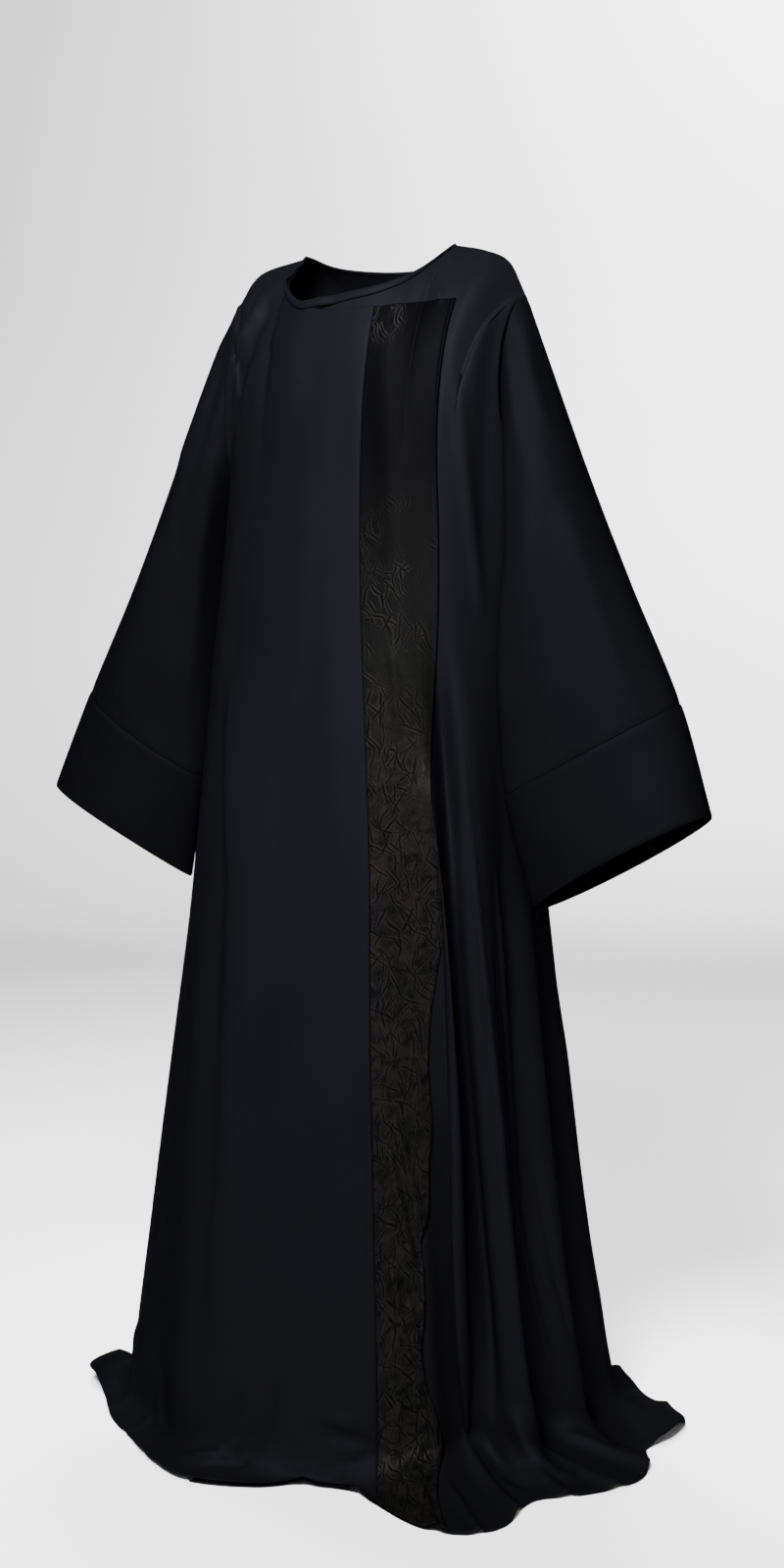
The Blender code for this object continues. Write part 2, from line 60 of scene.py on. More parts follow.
class Socket:
    """A shader socket that takes Python's operators, which add Math nodes."""

    def __init__(self, tree, value):
        self.tree, self.value = tree, value

    def node(self, kind, settings=None, stops=None, out=0, **inputs):
        """Adds a node: its settings first, then the values or links of its inputs."""
        node = self.tree.nodes.new("ShaderNode" + kind)
        for name, setting in (settings or {}).items():
            setattr(node, name, setting)
        for index, (place, colour) in enumerate(stops or ()):
            stop = node.color_ramp.elements[index] if index < 2 else node.color_ramp.elements.new(place)
            stop.position, stop.color = place, (*colour, 1.0)
        for name, value in inputs.items():
            socket = node.inputs[int(name[1:])] if name[0] == "_" else node.inputs[name.replace("_", " ")]
            if isinstance(value, Socket):
                self.tree.links.new(value.value, socket)
            else:
                socket.default_value = value
        return Socket(self.tree, node.outputs[out])

    def math(self, operation, *values):
        """A Math node on its numbered inputs."""
        inputs = {"_" + str(index): value for index, value in enumerate(values)}
        return self.node("Math", {"operation": operation}, **inputs)

    def __add__(self, other): return self.math("ADD", self, other)
    def __radd__(self, other): return self.math("ADD", other, self)
    def __sub__(self, other): return self.math("SUBTRACT", self, other)
    def __rsub__(self, other): return self.math("SUBTRACT", other, self)
    def __mul__(self, other): return self.math("MULTIPLY", self, other)
    def __rmul__(self, other): return self.math("MULTIPLY", other, self)

    def rise(self, low, high):
        """0 below low, 1 above high, with a smooth rise between."""
        return self.node("MapRange", {"interpolation_type": "SMOOTHSTEP"}, Value=self, From_Min=low, From_Max=high)

    def to(self, shader, name):
        """Links the socket to one of the shader's inputs."""
        self.tree.links.new(self.value, shader.inputs[name])


def finish_of(name, **constants):
    """A new material: its tree as a socket, its shader, and the values that stay the same all over."""
    made = bpy.data.materials.new(name)
    made.use_nodes = True
    shader = made.node_tree.nodes["Principled BSDF"]
    for socket, value in constants.items():
        shader.inputs[socket.replace("_", " ")].default_value = value
    return made, Socket(made.node_tree, None), shader


def studio_place(right, away, up):
    """A place given as the camera sees it, from the point on the floor under the garment's neck."""
    cosine, sine = math.cos(view_turn), math.sin(view_turn)
    return Vector((right * cosine - away * sine, right * sine + away * cosine, FLOOR + up))


# A round cove: a flat floor that bends up into a wall all round, beyond every camera.
COVE_FLOOR, COVE_BEND, COVE_HEIGHT, COVE_CLEARANCE = 4.2, 2.8, 7.0, 0.0004
profile = [(0.0, 0.0), (0.7, 0.0), (1.6, 0.0), (2.8, 0.0)]
for bend in range(0, 91, 6):
    angle = math.radians(bend)
    profile.append((COVE_FLOOR + COVE_BEND * math.sin(angle), COVE_BEND * (1.0 - math.cos(angle))))
profile.append((COVE_FLOOR + COVE_BEND, COVE_HEIGHT))
cove = bmesh.new()
side = [cove.verts.new((reach, 0.0, FLOOR + up - COVE_CLEARANCE)) for reach, up in profile]
edges = [cove.edges.new(pair) for pair in zip(side, side[1:])]
bmesh.ops.spin(cove, geom=side + edges, cent=(0, 0, 0), axis=(0, 0, 1), angle=2 * math.pi, steps=96)
bmesh.ops.remove_doubles(cove, verts=cove.verts[:], dist=1e-4)
cove_mesh = bpy.data.meshes.new("studio_floor")
cove.to_mesh(cove_mesh)
cove.free()
cove_mesh.shade_smooth()
studio_floor = bpy.data.objects.new("studio_floor", cove_mesh)
bpy.context.scene.collection.objects.link(studio_floor)

# Pale paper, a little lighter on the floor than on the wall.
paper, tree, shader = finish_of("studio_paper", Roughness=0.9)
spot = tree.node("TexCoord", out=3)
mottle = tree.node("TexNoise", Vector=spot, Scale=1.4, Detail=2.0)
wall = tree.node("SeparateXYZ", out=2, Vector=spot).rise(FLOOR + 0.1, FLOOR + 2.5)
tree.node("ValToRGB", stops=[(0.0, (0.64, 0.64, 0.64)), (1.0, (0.90, 0.90, 0.895))],
          Fac=(1.0 - wall) * 0.85 + mottle * 0.15).to(shader, "Base Color")
studio_floor.data.materials.append(paper)

world = bpy.data.worlds.new("studio")
world.use_nodes = True
world.node_tree.nodes["Background"].inputs["Color"].default_value = (0.95, 0.96, 1.0, 1.0)
world.node_tree.nodes["Background"].inputs["Strength"].default_value = 0.07
bpy.context.scene.world = world

# Each place and aim is (right, away, up), as the camera sees them. The spread is the width of the beam.
for name, place, aim, size, spread, power in (
        ("key", (-0.55, -2.15, 2.6), (0.0, -0.1, 1.15), 1.1, 85, 138.0),
        ("fill", (2.4, -2.8, 1.9), (0.0, 0.3, 0.5), 1.5, 120, 4.0),
        ("back", (-0.6, 2.0, 4.2), (0.0, 0.1, 0.7), 1.4, 100, 120.0),
        ("backdrop_high", (1.6, 4.2, 5.0), (1.4, 7.0, 2.8), 1.5, 120, 300.0),
        ("backdrop_right", (3.4, 4.0, 4.4), (2.2, 7.0, 2.2), 1.5, 120, 200.0)):
    lamp = bpy.data.lights.new(name, "AREA")
    lamp.shape, lamp.size, lamp.energy = "DISK", size, power
    lamp.spread = math.radians(spread)
    light = bpy.data.objects.new(name, lamp)
    light.location = studio_place(*place)
    light.rotation_euler = (studio_place(*aim) - light.location).to_track_quat("-Z", "Y").to_euler()
    bpy.context.scene.collection.objects.link(light)


# ---- Back panel ----------------------------------------------------------------------------------------
# One width of black crepe from side seam to side seam, hung from the shoulder seams and the back neckline.
# It falls in soft flutes, breaks on the floor and spreads there in a shallow train.

CREPE_THICKNESS = 0.0010
CHEST_DROP, HIP_DROP, BREAK_DROP, FLOOR_DROP, HEM_DROP = 0.30, 0.80, 1.385, 1.43, 1.4284
LEAST_HEM, HEM_LIFT = 0.012, 0.0016

# A drop is measured down from the neck, and a turn is an angle from the front towards the wearer's left.
# LEAST_HEM is the least width of the cloth that lies on the floor, HEM_LIFT the height of its outer face.
GIRTHS = [
    # drop, right, left, front, back
    (0.20, 0.194, 0.190, 0.126, 0.104),
    (0.30, 0.200, 0.194, 0.138, 0.100),
    (0.40, 0.207, 0.198, 0.150, 0.099),
    (0.53, 0.220, 0.204, 0.166, 0.104),
    (0.79, 0.241, 0.213, 0.203, 0.120),
    (1.00, 0.262, 0.226, 0.234, 0.140),
    (1.21, 0.283, 0.244, 0.262, 0.164),
    (1.33, 0.297, 0.260, 0.277, 0.186),
    (1.43, 0.308, 0.278, 0.286, 0.206),
]
SQUARENESS = 2.2

# Lines run down the cloth, numbered from the right side seam round the front: 1 is the right shoulder tip,
# 2 and 5 are the ends of the front neckline, 7 is the left tip, 8 the left side seam, 10 and 12 the ends of
# the back neckline and 14 is line 0 again.
TOP_EDGE = [
    # line, out, fwd, drop, corner
    (0.0, -0.198, 0.000, 0.272, True), (1.0, -0.208, 0.000, 0.055, True), (1.5, -0.176, 0.000, 0.018, False),
    (2.0, -0.108, 0.000, 0.002, True), (2.35, -0.100, 0.052, 0.042, False), (2.7, -0.060, 0.088, 0.070, False),
    (3.0, -0.028, 0.094, 0.069, False), (3.5, 0.012, 0.094, 0.062, False), (4.0, 0.050, 0.084, 0.054, False),
    (4.5, 0.082, 0.056, 0.037, False), (5.0, 0.106, 0.000, 0.000, True), (6.0, 0.150, 0.000, 0.010, False),
    (6.6, 0.182, 0.000, 0.027, False), (7.0, 0.203, 0.000, 0.068, True), (8.0, 0.195, 0.000, 0.272, True),
    (9.0, 0.203, 0.000, 0.068, True), (9.5, 0.172, 0.000, 0.022, False), (10.0, 0.106, 0.000, 0.000, True),
    (10.5, 0.078, -0.046, 0.014, False), (11.0, 0.000, -0.062, 0.020, False), (11.5, -0.078, -0.046, 0.014, False),
    (12.0, -0.108, 0.000, 0.002, True), (12.5, -0.176, 0.000, 0.018, False), (13.0, -0.208, 0.000, 0.055, True),
    (14.0, -0.198, 0.000, 0.272, True),
]
LINES = [
    # line, lean at the top edge, turn at the chest, hip, hem
    (0.0, 0.00, -90, -90, -90), (0.5, 0.35, -71, -70, -70), (1.0, 0.80, -58, -57, -56),
    (1.5, 0.70, -50, -49, -48), (2.0, 0.60, -41, -41, -40), (2.35, 0.48, -35, -34, -33),
    (2.7, 0.36, -23, -21, -20), (3.0, 0.30, -11, -9, -8), (3.5, 0.30, 5, 9, 11), (4.0, 0.34, 21, 27, 29.5),
    (4.5, 0.46, 32, 33, 33), (5.0, 0.60, 40, 38, 36), (6.0, 0.64, 53, 45.5, 40), (6.6, 0.72, 55.5, 50, 46),
    (7.0, 0.80, 58, 54, 51), (7.5, 0.35, 72, 72, 71), (8.0, 0.00, 90, 90, 90), (8.5, 0.35, 107, 107, 108),
    (9.0, 0.80, 119, 120, 122), (9.5, 0.76, 125, 128, 131), (10.0, 0.82, 132, 137, 141),
    (10.5, 0.55, 145, 150, 156), (11.0, 0.40, 180, 180, 180), (11.5, 0.55, 215, 210, 204),
    (12.0, 0.82, 228, 223, 219), (12.5, 0.76, 235, 232, 229), (13.0, 0.80, 241, 240, 238),
    (13.5, 0.35, 253, 253, 252), (14.0, 0.00, 270, 270, 270),
]
# How far each armhole bows to the front, to the back and inwards, and how tightly the cloth curves over the
# shoulders.
ARMHOLE_FRONT, ARMHOLE_BACK, ARMHOLE_NIP = 0.042, 0.038, 0.010
CURVE_PULL = 1.05

FLUTES = [
    # turn at chest, turn at hem, start drop, height, half width in degrees
    (-58, -14, 0.35, 0.014, 14), (-66, -36, 0.40, -0.016, 12), (-82, -78, 0.60, 0.012, 11),
    (48.5, 54.0, 0.42, -0.046, 6.0), (53.0, 60.5, 0.25, 0.024, 6.0), (62.0, 67.0, 0.18, 0.016, 5.5),
    (72.0, 77.0, 0.50, -0.024, 6.0), (80.0, 86.0, 0.50, 0.022, 7.0), (96.0, 99.0, 0.50, -0.022, 6.5),
    (108.0, 111.0, 0.40, 0.030, 8.0), (124.0, 127.0, 0.45, -0.026, 8.0), (141.0, 144.0, 0.35, 0.032, 9.0),
    (160.0, 161.0, 0.50, -0.026, 9.0), (178.0, 178.0, 0.35, 0.028, 9.0), (197.0, 196.0, 0.50, -0.026, 9.0),
    (214.0, 213.0, 0.35, 0.032, 9.0), (232.0, 231.0, 0.50, -0.022, 8.0), (248.0, 248.0, 0.45, 0.022, 8.0),
]
TRAIN = [
    # turn, reach of the hem on the floor
    (-90, 0.352), (-74, 0.382), (-63, 0.346), (-50, 0.335), (-35, 0.328), (-20, 0.343), (-9, 0.352),
    (5, 0.324), (12, 0.300), (21, 0.300), (28, 0.335), (36, 0.414), (42, 0.440), (48, 0.430), (54, 0.388),
    (58, 0.376), (64, 0.388), (76, 0.402), (84, 0.384), (91, 0.358), (97, 0.372), (110, 0.376),
    (122, 0.332), (140, 0.328), (158, 0.292), (176, 0.318), (196, 0.288), (214, 0.338), (232, 0.320),
    (250, 0.356), (270, 0.352),
]

# Creases that are narrower than the flutes. A height below 0 is a trough. Each runs through a few places on
# the body, given as (turn, drop), and dies away at its ends; a drop over HEM_DROP is a place past the hem.
BODY_CREASES = [
    # height, half width, [places]
    # From the right shoulder seam down to the armhole.
    (0.0085, 0.007, [(-74, 0.03), (-66, 0.074), (-65.4, 0.107), (-68.5, 0.15), (-72, 0.215), (-74, 0.29)]),
    (0.0065, 0.006, [(-78, 0.04), (-70, 0.078), (-68, 0.106), (-70.5, 0.13), (-74, 0.18)]),
    (0.0024, 0.0055, [(-82, 0.06), (-75, 0.1), (-74, 0.15)]),
    (-0.0046, 0.0075, [(-70, 0.045), (-60, 0.085), (-59, 0.125), (-63, 0.185), (-67, 0.25)]),
    (0.0026, 0.006, [(-42, 0.1), (-52, 0.127), (-60, 0.165)]),
    (0.0012, 0.006, [(-28, 0.104), (-33, 0.124), (-42, 0.15)]),
    # Short creases of the left front over the wrap's top edge.
    (0.0018, 0.005, [(62, 0.022), (60, 0.046), (62, 0.082)]),
    (0.0016, 0.005, [(50, 0.05), (43, 0.07), (38, 0.088)]),
    (0.0015, 0.005, [(66, 0.03), (56, 0.058), (50, 0.084)]),
    (0.0015, 0.0045, [(74, 0.02), (64, 0.052), (60, 0.086)]),
    # The trough in front of the left armhole and the crest beside it.
    (-0.005, 0.017, [(84, 0.045), (78, 0.1), (74, 0.155), (72.5, 0.222), (71.5, 0.3), (71, 0.44)]),
    (0.003, 0.009, [(60, 0.13), (62, 0.2), (64, 0.29), (66, 0.38), (67, 0.48)]),
    # Left front: the fold beside the band with its sharp crest, the deep valley next to it, then the long
    # folds' crests.
    (0.03, 0.023, [(47.0, 0.56), (48.8, 0.76), (50.2, 0.95), (51.0, 1.08), (51.8, 1.2), (52.2, 1.32),
                      (51.5, 1.4), (50.0, 1.425)]),
    (0.007, 0.006, [(46.8, 0.66), (47.7, 0.762), (48.5, 0.875), (49.5, 0.988), (50.2, 1.044), (51.4, 1.134),
                      (52.3, 1.212), (52.9, 1.289), (53.2, 1.355), (50.3, 1.416)]),
    (-0.028, 0.012, [(50.5, 0.44), (51.8, 0.62), (53.0, 0.8), (54.6, 0.96), (56.0, 1.11), (57.2, 1.24),
                       (58.2, 1.35), (58.6, 1.42)]),
    (0.0046, 0.005, [(58.0, 0.62), (59.5, 0.76), (61.0, 0.9), (62.4, 1.043), (62.6, 1.131), (63.2, 1.197),
                      (63.4, 1.273), (64.0, 1.337), (67.0, 1.395), (72.0, 1.42), (79.0, 1.427)]),
    (0.0056, 0.0055, [(68.7, 0.72), (70.0, 0.9), (74.0, 1.04), (74.7, 1.146), (76.7, 1.205), (78.2, 1.262),
                      (79.7, 1.308), (81.2, 1.353), (83.6, 1.403)]),
    (0.0026, 0.004, [(65.0, 1.12), (70.0, 1.18), (74.9, 1.226), (76.6, 1.284), (77.9, 1.341), (78.5, 1.396)]),
    (-0.003, 0.006, [(65.0, 0.8), (66.5, 0.95), (69.0, 1.06), (70.0, 1.15), (71.6, 1.23), (73.0, 1.32)]),
    (-0.003, 0.005, [(80.0, 1.08), (82.0, 1.18), (84.0, 1.26), (86.0, 1.33)]),
    (0.002, 0.0045, [(79.1, 1.19), (80.7, 1.235), (81.8, 1.252), (84.4, 1.276)]),
    (0.0016, 0.0045, [(80.0, 1.225), (83.0, 1.253), (87.0, 1.272)]),
    (0.004, 0.008, [(99.0, 1.22), (101.3, 1.328), (102.1, 1.37), (103.6, 1.4)]),
    (0.004, 0.007, [(90.0, 0.86), (91.0, 1.000), (92.0, 1.14), (93.0, 1.26), (95.0, 1.36)]),
    # Right front: a long soft ridge, and the buckles where the cloth meets the floor.
    (0.0085, 0.011, [(-47, 0.48), (-33, 0.64), (-24, 0.77), (-19.8, 0.884), (-16.4, 0.995), (-13.9, 1.106),
                      (-12.1, 1.248), (-10.8, 1.324), (-11.0, 1.39)]),
    (0.0085, 0.02, [(-42, 0.48), (-28, 0.64), (-19, 0.77), (-15, 0.884), (-11.8, 0.995), (-9.4, 1.106),
                      (-7.6, 1.248), (-6.4, 1.324), (-6.6, 1.39)]),
    (0.006, 0.034, [(-34, 0.48), (-21, 0.64), (-12, 0.77), (-8, 0.884), (-5, 0.995), (-3, 1.106), (-1, 1.248),
                      (0, 1.39)]),
    (0.01, 0.008, [(0.6, 1.3), (-0.2, 1.335), (-0.8, 1.362), (-2.4, 1.392), (-6.1, 1.414), (-11.6, 1.42),
                      (-17, 1.422)]),
    (-0.01, 0.0085, [(3.2, 1.3), (2.6, 1.345), (1.8, 1.374), (-0.3, 1.399), (-2.4, 1.415), (-7.8, 1.422)]),
    (0.0045, 0.0075, [(17.5, 1.352), (20.5, 1.358), (23.2, 1.364), (26.1, 1.36)]),
    (-0.006, 0.008, [(17.5, 1.368), (20.5, 1.373), (23.2, 1.38), (27.1, 1.376)]),
    (-0.004, 0.006, [(22, 1.422), (23.5, 1.41), (26.5, 1.398), (28.7, 1.386)]),
    (0.005, 0.01, [(-62, 1.33), (-58, 1.385), (-52, 1.415)]),
    (0.005, 0.009, [(-40, 1.35), (-37, 1.395), (-31, 1.421)]),
    # Left front at the floor.
    (0.006, 0.009, [(61, 1.35), (63, 1.4), (66, 1.423), (72, 1.427)]),
    (-0.005, 0.009, [(56, 1.36), (57, 1.4), (58, 1.424), (60, 1.428)]),
    (0.004, 0.008, [(88, 1.34), (92, 1.385), (97, 1.415)]),
    # The hem's two lips, which curl up beside the side seams.
    (0.017, 0.013, [(-88, 1.4284), (-80, 1.4284), (-72, 1.4284), (-63, 1.4284)]),
    (0.012, 0.008, [(92, 1.4284), (97, 1.4284), (102, 1.4284), (107, 1.4284)]),
    # Back: shallow drags below the neck and over the shoulder blades, and breaks at the floor.
    (0.003, 0.011, [(128, 0.06), (140, 0.1), (150, 0.15), (158, 0.22)]),
    (0.003, 0.011, [(232, 0.064), (221, 0.104), (211, 0.155), (203, 0.23)]),
    (0.0022, 0.009, [(117, 0.07), (121, 0.13), (126, 0.2)]),
    (0.0024, 0.009, [(243, 0.07), (239, 0.128), (235, 0.2)]),
    (-0.004, 0.014, [(105, 0.1), (103, 0.18), (104, 0.27), (106, 0.38)]),
    (-0.004, 0.014, [(255, 0.1), (257, 0.18), (256, 0.27), (254, 0.38)]),
    (0.0034, 0.0075, [(142, 0.84), (143.5, 1.05), (144.5, 1.25), (146, 1.37)]),
    (0.0032, 0.0075, [(178, 0.78), (177, 1.000), (177.5, 1.23), (176, 1.37)]),
    (0.0034, 0.0075, [(214, 0.86), (213.5, 1.06), (212.5, 1.26), (211, 1.37)]),
    (0.003, 0.007, [(109, 0.9), (110.5, 1.1), (111.5, 1.28), (113, 1.38)]),
    (0.003, 0.007, [(248, 0.9), (248, 1.1), (247, 1.28), (246, 1.38)]),
    (0.006, 0.009, [(150, 1.35), (153, 1.4), (158, 1.424)]),
    (0.0055, 0.009, [(186, 1.352), (190, 1.402), (193, 1.424)]),
    (0.006, 0.009, [(222, 1.35), (226, 1.4), (229, 1.424)]),
    (0.005, 0.009, [(128, 1.352), (124, 1.4), (121, 1.422)]),
]
# Small ripples where the hem stands off the floor. Each runs out over the edge, from its own drop.
HEM_RIPPLES = [
    # height, half width, drop where it starts, turns at its start, at the hem and past it
    (0.005, 0.01, 1.405, -52, -53, -54), (0.004, 0.008, 1.405, -38, -39, -40), (0.0035, 0.007, 1.408, -24, -25, -26),
    (0.0045, 0.009, 1.405, 12, 13, 14), (0.008, 0.006, 1.4, 24, 25.5, 27), (0.006, 0.007, 1.4, 36, 38, 39),
    (0.005, 0.006, 1.405, 43, 44, 45), (0.009, 0.008, 1.395, 53, 52, 51), (0.007, 0.008, 1.405, 62, 63, 64),
    (0.008, 0.009, 1.405, 70, 72, 74), (0.01, 0.009, 1.4, 80, 83, 86), (0.006, 0.009, 1.405, 115, 116, 117),
    (0.006, 0.01, 1.405, 139, 140, 141), (0.006, 0.009, 1.405, 164, 165, 166), (0.005, 0.008, 1.405, 180, 181, 182),
    (0.006, 0.01, 1.405, 206, 206, 206), (0.006, 0.009, 1.405, 238, 239, 240), (0.005, 0.009, 1.405, 256, 257, 258),
]
BODY_CREASES += [(height, width, [(inner, start), (edge, HEM_DROP), (outer, 1.45)])
                 for height, width, start, inner, edge, outer in HEM_RIPPLES]


def smooth_step(value, low, high):
    """0 below low, 1 above high, and a smooth rise between."""
    part = np.clip((value - low) / (high - low), 0.0, 1.0)
    return part * part * (3.0 - 2.0 * part)


def hermite(t, a, leave, b, arrive):
    """A cubic curve from a to b with its two end directions."""
    return ((2 * t ** 3 - 3 * t ** 2 + 1) * a + (t ** 3 - 2 * t ** 2 + t) * leave
            + (3 * t ** 2 - 2 * t ** 3) * b + (t ** 3 - t ** 2) * arrive)


def read(rows, column, at, corner=None):
    """The values of a column at some keys, on a smooth curve through the rows; a corner row breaks it."""
    keys = np.array([row[0] for row in rows], float)
    values = np.array([row[column] for row in rows], float)
    span = np.diff(keys)
    rise = np.diff(values) / span
    through = (values[2:] - values[:-2]) / (keys[2:] - keys[:-2])
    leaving = np.concatenate([rise[:1], through, rise[-1:]])
    arriving = leaving.copy()
    for index in range(1, len(rows) - 1):
        if corner is not None and rows[index][corner]:
            leaving[index] = rise[index]
            arriving[index] = rise[index - 1]
    at = np.clip(at, keys[0], keys[-1])
    index = np.clip(np.searchsorted(keys, at, side="right") - 1, 0, len(rows) - 2)
    t = (at - keys[index]) / span[index]
    return hermite(t, values[index], leaving[index] * span[index],
                   values[index + 1], arriving[index + 1] * span[index])


def unit(vectors):
    """The vectors, each at a length of 1."""
    return vectors / np.maximum(np.linalg.norm(vectors, axis=-1, keepdims=True), 1e-12)


def fold_height(turn, drop):
    """How far the flutes push the cloth out at a turn and a drop."""
    height = np.zeros(np.broadcast(turn, drop).shape)
    down = np.clip((drop - CHEST_DROP) / (FLOOR_DROP - CHEST_DROP), 0.0, 1.0)
    for chest, hem, start, rise, spread in FLUTES:
        away = (turn - chest - (hem - chest) * down + 180.0) % 360.0 - 180.0
        wave = 0.5 * (1.0 + np.cos(np.pi * np.clip(away / (2.0 * spread), -1.0, 1.0)))
        height = height + rise * smooth_step(drop, start, FLOOR_DROP) * wave
    return height


def body_reach(turn, drop):
    """Distance of the cloth from the axis at a turn and a drop."""
    right, left, front, back = (read(GIRTHS, column, drop) for column in (1, 2, 3, 4))
    angle = np.radians(turn)
    side = np.where(np.sin(angle) > 0, left, right)
    deep = np.where(np.cos(angle) > 0, front, back)
    plain = (np.abs(np.sin(angle) / side) ** SQUARENESS
             + np.abs(np.cos(angle) / deep) ** SQUARENESS) ** (-1.0 / SQUARENESS)
    return plain + fold_height(turn, drop)


def line_turn(line, drop):
    """The turn at which a line of the cloth hangs at a drop below the chest."""
    chest, hip, hem = (read(LINES, column, line) for column in (2, 3, 4))
    return (chest + (hip - chest) * smooth_step(drop, CHEST_DROP, HIP_DROP)
            + (hem - hip) * smooth_step(drop, HIP_DROP, FLOOR_DROP))


def around_axis(turn, reach, height):
    """Points at a turn, at a reach from the axis and at a height."""
    angle = np.radians(turn)
    return np.stack([reach * np.sin(angle), -reach * np.cos(angle), height + np.zeros_like(reach)], -1)


def hanging(line, drop):
    """Points of the hanging cloth, below the chest."""
    turn = line_turn(line, drop)
    return around_axis(turn, body_reach(turn, drop), -drop)


def edge_row(line):
    """The point that a row of TOP_EDGE gives."""
    row = next(row for row in TOP_EDGE if row[0] == line)
    return np.array((row[1], -row[2], -row[3]))


def body_top(line):
    """A point of the body's top edge: neckline, shoulder seam or armhole."""
    edge = np.stack([read(TOP_EDGE, 1, line, 4), -read(TOP_EDGE, 2, line, 4), -read(TOP_EDGE, 3, line, 4)], -1)
    for tip, underarm, depth in ((1.0, 0.0, ARMHOLE_FRONT), (7.0, 8.0, ARMHOLE_FRONT),
                                 (9.0, 8.0, -ARMHOLE_BACK), (13.0, 14.0, -ARMHOLE_BACK)):
        part = np.clip((line - tip) / (underarm - tip), 0.0, 1.0)
        top, bottom = edge_row(tip), edge_row(underarm)
        oval = top + (bottom - top) * (0.5 - 0.5 * np.cos(np.pi * part))[..., None]
        oval[..., 0] -= np.sign(top[0]) * ARMHOLE_NIP * np.sin(np.pi * part)
        oval[..., 1] -= depth * np.sin(np.pi * part)
        on_armhole = (line >= min(tip, underarm)) & (line <= max(tip, underarm))
        edge = np.where(on_armhole[..., None], oval, edge)
    return edge


def body_place(line, down):
    """Points of the body's cloth: down runs 0 to 1 from the top edge to the chest, to 2 where the cloth bends
    to the floor and to 3 at the hem."""
    line, down = np.broadcast_arrays(np.asarray(line, float), np.asarray(down, float))
    top = body_top(line)
    chest = hanging(line, np.full(line.shape, CHEST_DROP))
    below = hanging(line, np.full(line.shape, 1.1 * CHEST_DROP))
    length = np.linalg.norm(chest - top, axis=-1, keepdims=True) * CURVE_PULL
    level = unit((chest - top) * (1, 1, 0))
    lean = read(LINES, 1, line)[..., None]
    leave = unit((1 - lean) * np.array((0.0, 0.0, -1.0)) + lean * level)
    upper = hermite(np.clip(down, 0, 1)[..., None], top, leave * length, chest, unit(below - chest) * length)

    middle = hanging(line, CHEST_DROP + (np.clip(down, 1, 2) - 1) * (BREAK_DROP - CHEST_DROP))

    start = hanging(line, np.full(line.shape, BREAK_DROP))
    foot = hanging(line, np.full(line.shape, FLOOR_DROP))
    turn = line_turn(line, np.full(line.shape, FLOOR_DROP))
    foot[..., 2] = HEM_LIFT - FLOOR_DROP
    train = read(TRAIN, 1, (turn + 90.0) % 360.0 - 90.0)
    reach = np.maximum(train, np.linalg.norm(foot[..., :2], axis=-1) + LEAST_HEM)
    hem = around_axis(turn, reach, HEM_LIFT - FLOOR_DROP)
    t = np.clip(down - 2, 0, None)[..., None]
    lower = (1 - t) ** 2 * start + 2 * t * (1 - t) * foot + t ** 2 * hem
    return np.where((down <= 1)[..., None], upper, np.where((down <= 2)[..., None], middle, lower))


def normals_of(place, across, down, outward):
    """Unit normals of a surface that is given by a function of two positions on the cloth."""
    step = 1e-3
    beside = place(across + step, down) - place(across - step, down)
    below = place(across, down + step) - place(across, np.maximum(down - step, 0.0))
    return unit(np.cross(below, beside) * outward)


def crease_heights(points, creases, find):
    """How far narrow creases move points of the cloth. find turns a crease's places into points on the cloth."""
    heights = np.zeros(points.shape[:-1])
    for height, width, places in creases:
        path = find(places)
        length = np.concatenate([[0.0], np.cumsum(np.linalg.norm(np.diff(path, axis=0), axis=1))])
        low, high = path.min(0) - 3.5 * width, path.max(0) + 3.5 * width
        near = np.all((points > low) & (points < high), axis=-1)
        if not near.any():
            continue
        here = points[near]
        best, along = np.full(len(here), 9.0), np.zeros(len(here))
        for a, b, start in zip(path[:-1], path[1:], length[:-1]):
            run = b - a
            t = np.clip((here - a) @ run / max(run @ run, 1e-12), 0.0, 1.0)
            away = np.linalg.norm(here - a - t[:, None] * run, axis=1)
            closer = away < best
            best = np.where(closer, away, best)
            along = np.where(closer, (start + t * np.linalg.norm(run)) / length[-1], along)
        fade = smooth_step(along, 0.0, 0.22) * (1.0 - smooth_step(along, 0.78, 1.0))
        heights[near] += height * fade * np.exp(-(best / width) ** 2)
    return heights


def with_steps_between(places):
    """The two columns of a list of places, with three more places between each two."""
    keys = np.arange(len(places))
    between = np.linspace(0, len(places) - 1, 4 * len(places) - 3)
    return [np.interp(between, keys, [place[k] for place in places]) for k in (0, 1)]


EVERY_LINE = np.linspace(0.0, 14.0, 1401)
YOKE = body_place(np.linspace(0, 14, 561)[:-1, None], np.linspace(0, 1.05, 85)).reshape(-1, 3)


def places_on_body(places):
    """Points on the body for places given as (turn, drop), joined by a few more between each two."""
    path = []
    for turn, drop in zip(*with_steps_between(places)):
        if drop > CHEST_DROP:
            line = np.interp(turn, line_turn(EVERY_LINE, np.full(EVERY_LINE.shape, drop)), EVERY_LINE)
            if drop < BREAK_DROP:
                down = 1.0 + (drop - CHEST_DROP) / (BREAK_DROP - CHEST_DROP)
            elif drop < HEM_DROP:
                down = 3.0 - math.sqrt((HEM_DROP - drop) / (HEM_DROP - BREAK_DROP))
            else:
                down = 3.0 + 20.0 * (drop - HEM_DROP)
            path.append(body_place(line, down))
        else:
            aside = (np.degrees(np.arctan2(YOKE[:, 0], -YOKE[:, 1])) - turn + 180) % 360 - 180
            gap = (np.radians(aside) * np.hypot(YOKE[:, 0], YOKE[:, 1])) ** 2 + (YOKE[:, 2] + drop) ** 2
            nearest = np.argsort(gap)[:6]
            share = 1.0 / (gap[nearest] + 1e-7)
            path.append((YOKE[nearest] * share[:, None]).sum(0) / share.sum())
    return np.array(path)


SWAY_HEIGHT = 0.0009


